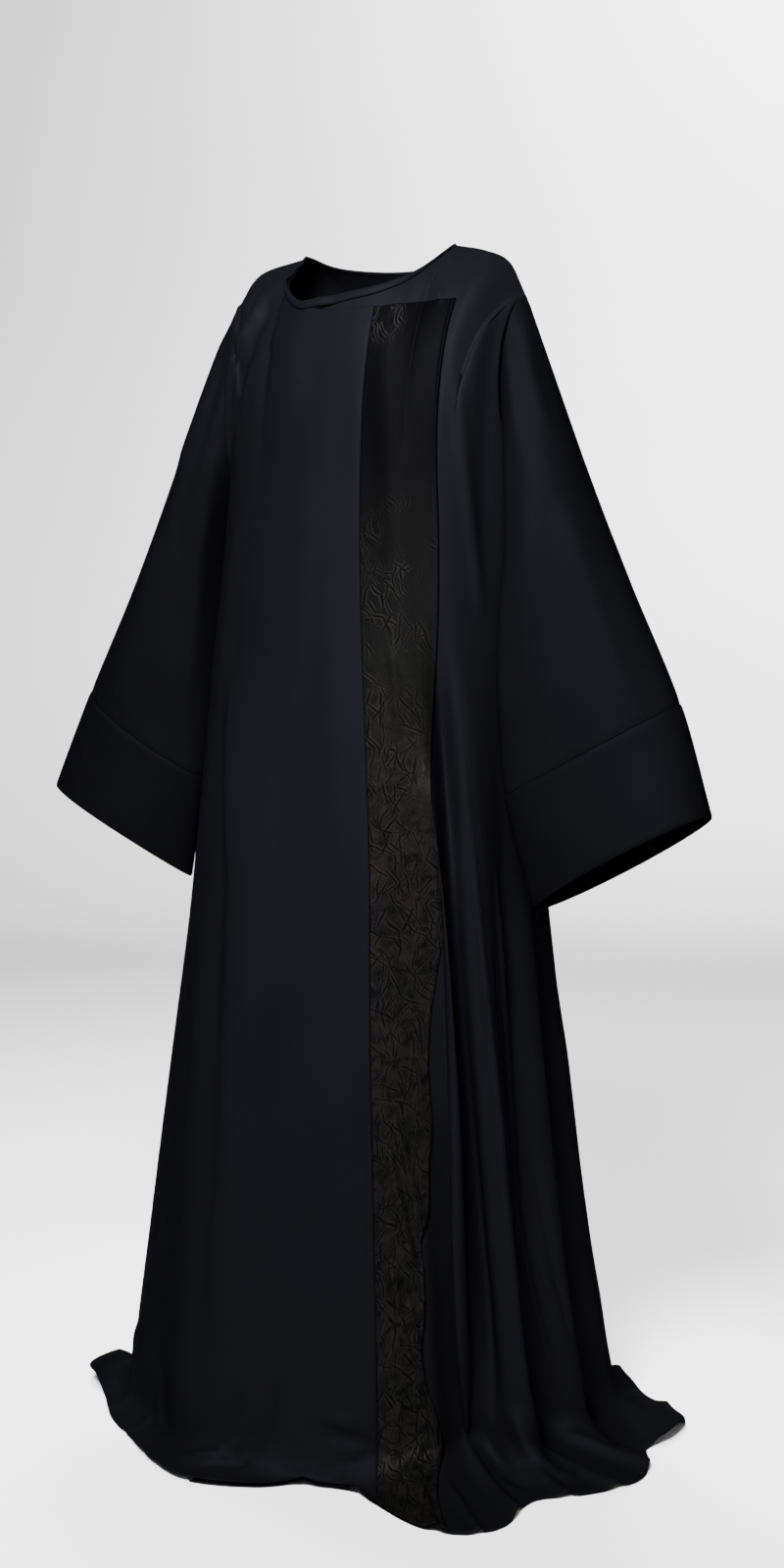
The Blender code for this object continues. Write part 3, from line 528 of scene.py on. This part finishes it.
def sway(points):
    """A slow unevenness of hanging cloth, so that no panel is perfectly fair."""
    x, y, z = (points[..., k] for k in range(3))
    around = np.arctan2(x, -y)
    waves = (np.sin(9.0 * around + 3.1 * z) * np.sin(7.3 * z + 1.0) + np.sin(17.0 * around - 5.0 * z + 2.0) * 0.5
             + np.sin(23.0 * around + 11.0 * z) * np.sin(4.0 * z) * 0.4)
    return SWAY_HEIGHT * waves * smooth_step(-z, 0.02, 0.3)


def steps_between(stops):
    """Positions along a list of (position, steps to the next) stops."""
    places = []
    for (start, count), (end, _) in zip(stops, stops[1:]):
        places.extend(start + (end - start) * i / count for i in range(count))
    return np.array(places + [stops[-1][0]])


def drape(name, points, normals, thickness, material, closed=False):
    """Cuts a flat grid of cloth, moves its points to their worn places, and gives it its thickness."""
    columns, rows = points.shape[:2]
    cut = bmesh.new()
    bmesh.ops.create_grid(cut, x_segments=columns - 1, y_segments=rows - 1, size=0.5)
    mesh = bpy.data.meshes.new(name)
    cut.to_mesh(mesh)
    cut.free()
    flat = np.empty(len(mesh.vertices) * 3)
    mesh.vertices.foreach_get("co", flat)
    flat = flat.reshape(-1, 3)
    column = np.rint((flat[:, 0] + 0.5) * (columns - 1)).astype(int)
    row = np.rint((flat[:, 1] + 0.5) * (rows - 1)).astype(int)
    mesh.vertices.foreach_set("co", points[column, row].ravel())
    across = np.cumsum(np.linalg.norm(np.diff(points, axis=0, prepend=points[:1]), axis=-1), axis=0)
    along = np.cumsum(np.linalg.norm(np.diff(points, axis=1, prepend=points[:, :1]), axis=-1), axis=1)
    across = across - across[columns // 2]
    weave = mesh.uv_layers.new(name="weave")
    corner = np.empty(len(mesh.loops), int)
    mesh.loops.foreach_get("vertex_index", corner)
    weave.data.foreach_set("uv", np.stack([across[column, row], along[column, row]], -1)[corner].ravel())
    mesh.update()
    face = mesh.polygons[len(mesh.polygons) // 2]
    middle = face.vertices[0]
    if np.dot(face.normal, normals[column[middle], row[middle]]) < 0:
        mesh.flip_normals()
    if closed:
        tube = bmesh.new()
        tube.from_mesh(mesh)
        bmesh.ops.remove_doubles(tube, verts=tube.verts[:], dist=1e-5)
        tube.to_mesh(mesh)
        tube.free()
    mesh.shade_smooth()
    mesh.materials.append(material)
    piece = bpy.data.objects.new(name, mesh)
    bpy.context.scene.collection.objects.link(piece)
    wall = piece.modifiers.new("wall", "SOLIDIFY")
    wall.thickness, wall.offset, wall.use_even_offset = thickness, -1.0, False
    return piece


def body_cloth(line, down, lift=0.0):
    """Points and normals of cloth that lies on the body's form, with its creases, lifted off it."""
    place = body_place(line, down)
    normal = normals_of(lambda u, v: body_place(u % 14.0, v), line, down, 1.0)
    rise = lift + crease_heights(place, BODY_CREASES, places_on_body) + sway(place)
    points = place + normal * rise[..., None]
    return points, normal


SEAM_DEPTH, EDGE_DEPTH = 0.0010, 0.0008


def drawn_in(line, down, seams, sewn_edge=1.0):
    """How far the cloth is drawn in along its side seams, below 0, and along its top edge where that is sewn."""
    dip = sum(-SEAM_DEPTH * np.exp(-((line - seam) / 0.06) ** 2) for seam in seams)
    return dip * smooth_step(down, 0.0, 0.2) - EDGE_DEPTH * np.exp(-(down / 0.012) ** 2) * sewn_edge


CREPE_BLACKS = (0.0023, 0.0023, 0.0031), (0.0032, 0.0032, 0.0043)
NO_TINT = (0.0, 0.0, 0.0, 1.0)


def crepe_finish(name, painted_shade_scale):
    """Crepe: nearly black with a blue cast, a fine pebbled grain over a plain weave, and a low soft sheen. The scale
    darkens its colours, and below 1 that darkening is painted shade.
    """
    made, tree, shader = finish_of(name, Specular_IOR_Level=0.0, Metallic=0.35, Specular_Tint=NO_TINT)
    weave = tree.node("UVMap", {"uv_map": "weave"})
    threads = tree.node("TexWave", {"wave_type": "BANDS", "bands_direction": "X"}, Vector=weave, Scale=620.0,
                        Distortion=2.4, Detail=1.0, Detail_Scale=2.0)
    picks = tree.node("TexWave", {"wave_type": "BANDS", "bands_direction": "Y"}, Vector=weave, Scale=560.0,
                      Distortion=2.8, Detail=1.0, Detail_Scale=2.0)
    pebble = tree.node("TexNoise", Vector=weave, Scale=1500.0, Detail=2.0, Roughness=0.6)
    cloud = tree.node("TexNoise", Vector=weave, Scale=9.0, Detail=3.0, Roughness=0.55)
    stretched = tree.node("Mapping", Vector=weave, Scale=(420.0, 16.0, 1.0))
    slub = tree.node("TexNoise", Vector=stretched, Scale=1.0, Detail=2.0)
    dark, light = ([painted_shade_scale * part for part in colour] for colour in CREPE_BLACKS)
    tree.node("ValToRGB", stops=[(0.25, dark), (0.8, light)], Fac=cloud * 0.6 + pebble * 0.4).to(shader, "Base Color")
    (0.50 + cloud * 0.10 + slub * 0.06).to(shader, "Roughness")
    grain = threads * 0.3 + picks * 0.3 + pebble * 0.9 + slub * 0.25
    tree.node("Bump", Strength=0.22, Distance=0.0004, Height=grain).to(shader, "Normal")
    return made


crepe = crepe_finish("black_crepe", 1.0)

DOWN_ROWS = steps_between([(0.0, 3), (0.02, 44), (1.0, 170), (2.0, 16), (2.6, 12), (3.0, 0)])
BACK_LINES = steps_between([(8.0, 2), (8.04, 20), (9.0, 16), (10.0, 46), (12.0, 16), (13.0, 20), (13.96, 2),
                            (14.0, 0)])
line, down = np.meshgrid(BACK_LINES, DOWN_ROWS, indexing="ij")
points, normals = body_cloth(line, down, drawn_in(line, down, (8.0, 14.0)))
back = drape("back_cloth", points, normals, CREPE_THICKNESS, crepe)
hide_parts("back")
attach(back, "root")


# ---- Left front ----------------------------------------------------------------------------------------
# Crepe from the left side seam to past the middle, where it lies hidden under the wrap. Its long folds open
# beside the band and run out over the floor.

FRONT_LEFT_LINES = steps_between([(3.0, 14), (4.0, 10), (5.0, 26), (6.0, 24), (7.0, 64), (7.96, 2), (8.0, 0)])
line, down = np.meshgrid(FRONT_LEFT_LINES, DOWN_ROWS, indexing="ij")
points, normals = body_cloth(line, down, drawn_in(line, down, (8.0,), line > 5))
front_left = drape("front_left_cloth", points, normals, CREPE_THICKNESS, crepe)
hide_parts("front_left")
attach(front_left, "root")


# ---- Right front ---------------------------------------------------------------------------------------
# The top layer of the wrap, one smooth width of crepe. Its top edge crosses the chest below the left front's
# neckline, and its long free edge is turned under and lies on the band.

# Heights of the band and of the wrap above the body's form, and the lines between which the wrap rises there.
BAND_LIFT, WRAP_LIFT, WRAP_RISE = 0.0024, 0.0050, (1.9, 2.85)
WRAP_TOP = [
    # line, drop
    (2.7, 0.070), (3.0, 0.083), (3.5, 0.085), (4.0, 0.083), (5.0, 0.078), (6.0, 0.075),
]


def wrap_downs(lines, rows):
    """Rows of a piece that starts at the wrap's top edge: they close up to the body's own rows by the chest."""
    downs = np.repeat(rows[None], len(lines), 0)
    steps = np.linspace(0, 1, 200)
    for index, line in enumerate(lines):
        if line > WRAP_TOP[0][0]:
            drops = -body_place(np.full(steps.shape, line), steps)[:, 2]
            top = float(np.interp(float(read(WRAP_TOP, 1, np.array(line))), drops, steps))
            downs[index] = np.where(rows < 1.0, top + (1.0 - top) * rows, rows)
    return downs


FRONT_RIGHT_LINES = steps_between([(0.0, 2), (0.04, 22), (1.0, 14), (2.0, 16), (3.0, 14), (3.97, 3), (4.0, 0)])
down = wrap_downs(FRONT_RIGHT_LINES, DOWN_ROWS)
line = FRONT_RIGHT_LINES[:, None] + 0 * down
turned_edge = -0.0014 * smooth_step(line, 3.975, 4.0)
on_left_front = WRAP_LIFT * smooth_step(line, *WRAP_RISE)
points, normals = body_cloth(line, down, on_left_front + drawn_in(line, down, (0.0,), line < 2) + turned_edge)
front_right = drape("front_right_cloth", points, normals, CREPE_THICKNESS, crepe)
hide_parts("front_right")
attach(front_right, "root")


# ---- Band ----------------------------------------------------------------------------------------------
# A strip of jacquard, sewn in under the right front's edge, with its other edge free over the left front.
# Fine dark twigs cross on a brown-black ground; the cloth is crisper than crepe and a little glossier.

# Creases that lean across the band and gather above the floor. They only rise, off the cloth below.
BAND_CREASES = [
    # height, half width, [(turn, drop)]
    (0.0065, 0.006, [(31.5, 1.05), (33.0, 1.085), (35.0, 1.125), (37.0, 1.17), (38.5, 1.205)]),
    (0.005, 0.0055, [(33.0, 1.02), (36.0, 1.06), (38.5, 1.11), (40.0, 1.16)]),
    (0.007, 0.0065, [(32.0, 1.18), (34.0, 1.225), (36.0, 1.27), (37.5, 1.31)]),
    (0.0055, 0.005, [(36.0, 1.215), (38.0, 1.255), (39.0, 1.3), (39.2, 1.34)]),
    (0.0026, 0.006, [(32.5, 1.424), (36.5, 1.408), (39.5, 1.384), (41.0, 1.35), (41.2, 1.31)]),
    (0.0026, 0.006, [(36.0, 1.424), (39.0, 1.416), (42.0, 1.396), (42.8, 1.366)]),
    (0.003, 0.0055, [(31.0, 1.41), (33.0, 1.38), (34.5, 1.345), (35.0, 1.31)]),
    (0.0016, 0.006, [(34.0, 0.48), (36.0, 0.54), (37.0, 0.6)]),
    (0.0016, 0.006, [(33.0, 0.86), (35.5, 0.905), (37.5, 0.96)]),
]
# Its free edge wanders: how much wider it lies at a drop, in lines.
EDGE_WANDER = [
    (0.60, 0.0), (0.70, 0.0), (0.80, 0.12), (0.87, -0.13), (0.96, -0.27), (1.04, -0.04), (1.09, -0.10),
    (1.14, -0.10),
    (1.165, -0.30), (1.20, -0.12), (1.25, -0.09), (1.286, -0.20), (1.323, 0.06), (1.354, 0.30), (1.39, 0.40),
    (1.413, 0.22), (1.4284, -0.05),
]
BAND_LINES = steps_between([(3.75, 6), (4.0, 20), (5.0, 26), (5.9, 4), (6.0, 0)])
down = wrap_downs(BAND_LINES, DOWN_ROWS)
line = BAND_LINES[:, None] + 0 * down
wander = read(EDGE_WANDER, 1, -body_place(line, down)[..., 2])
spread_line = line + np.clip(line - 4.0, 0.0, None) / 2.0 * wander
gather = crease_heights(body_place(spread_line, down), BAND_CREASES, places_on_body) * smooth_step(line, 4.10, 4.55)
rolled = 0.0009 * np.exp(-((line - 5.93) / 0.05) ** 2)
points, normals = body_cloth(spread_line, down, BAND_LIFT + gather + rolled)
# The free edge waves in the lower half, and lifts off the cloth below it.
low = smooth_step(-points[..., 2], 0.85, 1.20) * (1.0 - smooth_step(down, 2.5, 3.0))
free = smooth_step(line, 5.1, 6.0)
wave = np.sin(-points[..., 2] * 41.0) + 0.6 * np.sin(-points[..., 2] * 67.0 + 1.3)
points = points + normals * ((0.0016 + 0.0012 * wave) * low * free)[..., None]
# Below its top edge the strip is finely crinkled.
crinkle = (np.sin(line * 31.0 - points[..., 2] * 120.0) * np.sin(line * 13.0 + points[..., 2] * 83.0)
           * np.exp(-((-points[..., 2] - 0.10) / 0.035) ** 2) * (1.0 - smooth_step(line, 4.2, 5.2)))
points = points + normals * (0.0006 * crinkle * (line > 4.0))[..., None]

jacquard, tree, shader = finish_of("brown_black_jacquard", Specular_IOR_Level=0.0, Metallic=0.4,
                                   Specular_Tint=NO_TINT)
weave = tree.node("UVMap", {"uv_map": "weave"})
bend = tree.node("TexNoise", out=1, Vector=weave, Scale=22.0, Detail=2.0)
bent = tree.node("VectorMath", {"operation": "MULTIPLY_ADD"}, _0=bend, _1=(0.022, 0.022, 0.0), _2=weave)
across = tree.node("SeparateXYZ", Vector=weave)
along = tree.node("SeparateXYZ", out=1, Vector=weave)
# Twigs are short strokes, one in each cell of a scattered layer, leaning either way.
twigs, rims = None, None
for layer, (size, least, most, width) in enumerate(((36.0, -0.75, 0.15, 0.030), (41.0, -0.15, 0.75, 0.034),
                                                    (52.0, -0.95, 0.95, 0.040), (30.0, 0.35, 1.25, 0.026))):
    moved = tree.node("Mapping", Vector=bent, Location=(layer * 0.37, layer * 0.61, 0.0))
    settings = {"feature": "F1", "voronoi_dimensions": "2D"}
    centre = tree.node("TexVoronoi", settings, out=2, Vector=moved, Scale=size, Randomness=1.0)
    chance = tree.node("TexVoronoi", settings, out=1, Vector=moved, Scale=size, Randomness=1.0)
    middle = tree.node("VectorMath", {"operation": "SUBTRACT"}, _0=moved, _1=centre)
    angle = tree.node("SeparateColor", Color=chance) * (most - least) + least
    turned = tree.node("VectorRotate", {"rotation_type": "Z_AXIS"}, Vector=middle, Angle=angle)
    aside = tree.math("ABSOLUTE", tree.node("SeparateXYZ", Vector=turned)) * size
    reach = tree.math("ABSOLUTE", tree.node("SeparateXYZ", out=1, Vector=turned)) * size
    length = 0.30 + tree.node("SeparateColor", out=1, Color=chance) * 0.22
    inside = 1.0 - (reach - length).rise(0.0, 0.10)
    twig = (1.0 - aside.rise(width * 0.6, width * 1.5)) * inside
    rim = (aside.rise(width * 1.0, width * 1.8) - aside.rise(width * 2.2, width * 4.0)) * inside
    twigs = twig if twigs is None else tree.math("MAXIMUM", twigs, twig)
    rims = rim if rims is None else tree.math("MAXIMUM", rims, rim)
cluster = tree.node("TexNoise", Vector=weave, Scale=19.0, Detail=1.0)
fewer = across.rise(-0.02, 0.03) * (0.22 - along.rise(0.5, 0.9) * 0.20)
shown = (cluster + along.rise(0.20, 0.80) * 0.26 - fewer).rise(0.42, 0.62) * 0.9 + 0.1
top_corner = (1.0 - along.rise(0.03, 0.06)) * (1.0 - across.rise(-0.03, -0.01))
shown = shown * (along.rise(0.20, 0.32) + top_corner)
twigs, rims = twigs * shown, rims * shown
patch = tree.node("TexNoise", Vector=weave, Scale=24.0, Detail=1.0).rise(0.50, 0.60) * along.rise(0.45, 0.75)
# Light and dark flecks are painted on the lower band: painted highlight and painted shade for crinkled cloth catching
# and losing the light.
flecks = tree.node("TexNoise", Vector=bent, Scale=85.0, Detail=3.0, Roughness=0.6)
painted_fleck_highlight = flecks.rise(0.54, 0.62) * along.rise(0.3, 0.7)
shade = (1.0 - flecks.rise(0.38, 0.46)) * along.rise(0.3, 0.7)
# The ground at the band's top and below, its brown patches, the painted highlight on the twigs' rims, and the twigs.
TOP_BLACK, GROUND, PATCH, RIM_HIGHLIGHT, TWIG = ((0.0008, 0.0008, 0.0010, 1.0), (0.0028, 0.0027, 0.0026, 1.0),
                                       (0.0047, 0.0038, 0.0035, 1.0), (0.0060, 0.0057, 0.0053, 1.0),
                                       (0.0005, 0.0005, 0.0005, 1.0))


def dyed(factor, first, second):
    """A colour between two, by a factor."""
    return tree.node("Mix", {"data_type": "RGBA"}, out=2, _0=factor, _6=first, _7=second)


ground = dyed(patch, dyed(along.rise(0.10, 0.55), TOP_BLACK, GROUND), PATCH)
# Painted highlight: the twigs' rims and the light flecks are mixed towards a lighter colour.
lit = dyed(tree.math("MAXIMUM", rims * 0.6, painted_fleck_highlight * 0.45), ground, RIM_HIGHLIGHT)
# Painted shade: the dark flecks are mixed towards the twigs' near-black, along with the twigs.
dyed(tree.math("MAXIMUM", twigs * 0.65, shade * 0.5), lit, TWIG).to(shader, "Base Color")
(0.46 + twigs * 0.16 - patch * 0.05).to(shader, "Roughness")
rib = tree.node("TexWave", {"wave_type": "BANDS", "bands_direction": "DIAGONAL"}, Vector=weave, Scale=520.0,
                Distortion=1.2)
fine = tree.node("TexNoise", Vector=weave, Scale=1300.0, Detail=2.0)
height = rib * 0.08 + fine * 0.25 + rims * 0.35 - twigs * 0.45
tree.node("Bump", Strength=0.5, Distance=0.0006, Height=height).to(shader, "Normal")

band = drape("band_jacquard", points, normals, 0.0009, jacquard)
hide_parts("front_band")
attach(band, "root")


# ---- Neck binding --------------------------------------------------------------------------------------
# A narrow strip of the crepe, folded over the raw edge of the neckline and sewn down round it.

BINDING_WIDTH, BINDING_LIFT = 0.012, 0.0026
front_lines = np.linspace(2.0, 5.0, 91)
back_lines = np.linspace(10.0, 12.0, 61)
lines = np.concatenate([front_lines, back_lines[1:-1], front_lines[:1]])
# The folded strip's rounded section: places across its width, and their heights.
rows = np.array((0.0, 0.04, 0.2, 0.4, 0.6, 0.8, 0.96, 1.0))
lift_rows = np.array((-0.0006, 0.0006, 0.0013, 0.0015, 0.0014, 0.0009, 0.0002, -0.0010))
down_step = 0.05
fall = down_step / np.linalg.norm(body_place(lines, down_step) - body_top(lines), axis=-1)
down = fall[:, None] * BINDING_WIDTH * rows
line = lines[:, None] + 0 * down
place = body_place(line, down)
normal = normals_of(lambda u, v: body_place(u % 14.0, v), line, np.maximum(down, 0.004), 1.0)
# At the shoulder seams the strip turns smoothly from the front to the back.
for end in (2.0, 5.0, 10.0, 12.0):
    seam = np.exp(-((line - end) / 0.10) ** 2)[..., None]
    normal = unit(normal * (1.0 - seam) + unit(normal * (1, 0, 1)) * seam)
on_wrap = smooth_step(line, 1.9, 2.4) * (1.0 - smooth_step(line, 3.0, 3.3)) * (line < 9)
rise = BINDING_LIFT + WRAP_LIFT * on_wrap - 0.0012 + lift_rows
binding = drape("neck_binding_strip", place + normal * rise[..., None], normal, 0.0009, crepe, closed=True)
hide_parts("neck_binding")
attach(binding, "root")


# ---- Sleeves -------------------------------------------------------------------------------------------
# Set-in tubes of crepe that widen from the armhole to the cuff. The cloth hangs from the top of the arm and
# falls in a deep curve below it.

SLEEVE = [
    # along, over out, over fwd, over drop, under drop, left under out, fwd, right under out, fwd, front, back
    (0.00, 0.203, 0.000, 0.068, 0.272, 0.204, 0.000, 0.207, 0.000, 0.048, 0.042),
    (0.14, 0.232, 0.004, 0.140, 0.325, 0.216, 0.040, 0.224, 0.006, 0.054, 0.046),
    (0.42, 0.291, 0.012, 0.285, 0.440, 0.211, 0.080, 0.232, 0.010, 0.054, 0.050),
    (0.70, 0.350, 0.020, 0.417, 0.545, 0.211, 0.088, 0.242, 0.014, 0.048, 0.048),
    (1.00, 0.415, 0.030, 0.553, 0.662, 0.222, 0.094, 0.254, 0.018, 0.042, 0.044),
    (1.27, 0.460, 0.046, 0.680, 0.792, 0.262, 0.100, 0.274, 0.020, 0.044, 0.044),
]
# How much fuller the tube is above than below, how much lower the cuff's back hangs than its front, where the
# cuff starts and ends along the sleeve, and how far down the armhole's own shape fades out.
SLEEVE_EGG, CUFF_BACK_FALL, CUFF_SEAM, CUFF_EDGE, SEAM_FADE = 0.18, 0.024, 1.0, 1.27, 0.4
# The front of each sleeve is turned this many degrees outwards.
SLEEVE_FACING = {"left": 14.0, "right": 4.0}

# Creases of the sleeves, as (around, along): around runs 0 to 1 down the front and on to 2 up the back.
SLEEVE_CREASES = {
    "left": [
        (0.0024, 0.009, [(0.1, 0.02), (0.16, 0.08), (0.22, 0.16), (0.26, 0.3)]),
        (-0.0016, 0.0075, [(0.2, 0.00), (0.3, 0.08), (0.36, 0.16), (0.4, 0.26)]),
        (0.0014, 0.007, [(0.3, 0.00), (0.4, 0.08), (0.47, 0.18)]),
        (0.0045, 0.012, [(0.62, 0.04), (0.74, 0.2), (0.82, 0.42), (0.86, 0.66), (0.88, 0.92)]),
        (-0.003, 0.02, [(0.4, 0.3), (0.46, 0.55), (0.5, 0.85)]),
        (0.003, 0.016, [(0.28, 0.4), (0.3, 0.7), (0.32, 1.02)]),
        (0.003, 0.012, [(1.2, 0.04), (1.26, 0.2), (1.32, 0.44), (1.36, 0.8)]),
        (-0.003, 0.013, [(1.44, 0.06), (1.5, 0.24), (1.54, 0.5), (1.56, 0.9)]),
        (0.0034, 0.011, [(1.72, 0.02), (1.7, 0.12), (1.66, 0.28), (1.64, 0.46)]),
    ],
    "right": [
        (0.004, 0.009, [(0.12, 0.02), (0.2, 0.1), (0.26, 0.22), (0.3, 0.36)]),
        (-0.0034, 0.009, [(0.3, 0.02), (0.42, 0.14), (0.5, 0.3), (0.54, 0.5)]),
        (0.0036, 0.012, [(0.58, 0.04), (0.7, 0.22), (0.76, 0.48), (0.8, 0.84)]),
        (0.0028, 0.016, [(0.32, 0.44), (0.36, 0.7), (0.38, 1.00)]),
        (0.003, 0.012, [(1.24, 0.04), (1.3, 0.22), (1.34, 0.5), (1.38, 0.86)]),
        (-0.003, 0.012, [(1.5, 0.04), (1.54, 0.22), (1.58, 0.46), (1.6, 0.8)]),
        (0.0032, 0.011, [(1.76, 0.02), (1.72, 0.14), (1.7, 0.3), (1.66, 0.5)]),
    ],
}


def sleeve_place(side, around, along):
    """Points of a sleeve: around runs 0 to 1 down its front and on to 2 up its back."""
    around, along = np.broadcast_arrays(np.asarray(around, float), np.asarray(along, float))
    flip = 1.0 if side == "left" else -1.0
    line = 7.0 + around if side == "left" else np.where(around <= 1.0, 1.0 - around, 15.0 - around)

    def section(part):
        over_out, over_fwd, over_drop, under_drop, left_out, left_fwd, right_out, right_fwd, front, back = (
            read(SLEEVE, column, part) for column in range(1, 11))
        under_out, under_fwd = (left_out, left_fwd) if side == "left" else (right_out, right_fwd)
        over = np.stack([flip * over_out, -over_fwd, -over_drop], -1)
        under = np.stack([flip * under_out, -under_fwd, -under_drop], -1)
        facing = math.radians(SLEEVE_FACING[side])
        ahead = np.array((flip * math.sin(facing), -math.cos(facing), 0.0))
        angle = np.pi * around
        bulge = np.where(around <= 1.0, front, back) * (1.0 + SLEEVE_EGG * np.cos(angle)) * np.sin(angle)
        point = (over + under) / 2 + (over - under) / 2 * np.cos(angle)[..., None] + ahead * bulge[..., None]
        point[..., 2] += smooth_step(part, CUFF_SEAM, CUFF_EDGE) * CUFF_BACK_FALL / 2 * np.sin(angle)
        return point

    seam_shift = body_top(line) - section(np.zeros_like(along))
    return section(along) + seam_shift * (1.0 - smooth_step(along, 0.0, SEAM_FADE))[..., None]


def sleeve_cloth(side, around, along, lift):
    """Points and normals of cloth on a sleeve's form, with its creases, lifted off it."""
    place = sleeve_place(side, around, along)
    normal = normals_of(lambda u, v: sleeve_place(side, u % 2.0, v), around, along, -1.0 if side == "left" else 1.0)

    rise = lift + crease_heights(place, SLEEVE_CREASES[side],
                                 lambda places: sleeve_place(side, *with_steps_between(places)))
    return place + normal * rise[..., None], normal


# The sleeves' crepe is painted darker than the body's, as painted shade.
sleeve_crepe_painted_shade = crepe_finish("black_crepe_sleeve_painted_shade", 0.68)
SLEEVE_ROWS = steps_between([(0.0, 3), (0.01, 38), (0.4, 60), (0.99, 3), (CUFF_SEAM, 0)])
AROUND = np.linspace(0.0, 2.0, 97)
for side in ("left", "right"):
    around, along = np.meshgrid(AROUND, SLEEVE_ROWS, indexing="ij")
    seam_fall = -EDGE_DEPTH * np.exp(-(along / 0.012) ** 2) - EDGE_DEPTH * np.exp(-((along - CUFF_SEAM) / 0.010) ** 2)
    points, normals = sleeve_cloth(side, around, along, seam_fall)
    sleeve = drape("sleeve_cloth_" + side, points, normals, CREPE_THICKNESS, sleeve_crepe_painted_shade, closed=True)
    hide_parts("sleeve_" + side)
    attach(sleeve, "root")


# ---- Cuffs ---------------------------------------------------------------------------------------------
# Deep plain bands of crepe, doubled and pressed, joined on with a seam that stands slightly proud. Their crepe is
# painted darker than the body's, as painted shade.

cuff_crepe_painted_shade = crepe_finish("black_crepe_cuff_painted_shade", 0.60)
CUFF_ROWS = steps_between([(CUFF_SEAM, 3), (1.008, 26), (1.262, 3), (CUFF_EDGE, 0)])
for side in ("left", "right"):
    around, along = np.meshgrid(AROUND, CUFF_ROWS, indexing="ij")
    lift = 0.0010 * smooth_step(along, CUFF_SEAM, 1.012) - 0.0008 * smooth_step(along, 1.262, CUFF_EDGE)
    points, normals = sleeve_cloth(side, around, along, lift)
    cuff = drape("cuff_cloth_" + side, points, normals, 0.0014, cuff_crepe_painted_shade, closed=True)
    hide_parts("cuff_" + side)
    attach(cuff, "root")
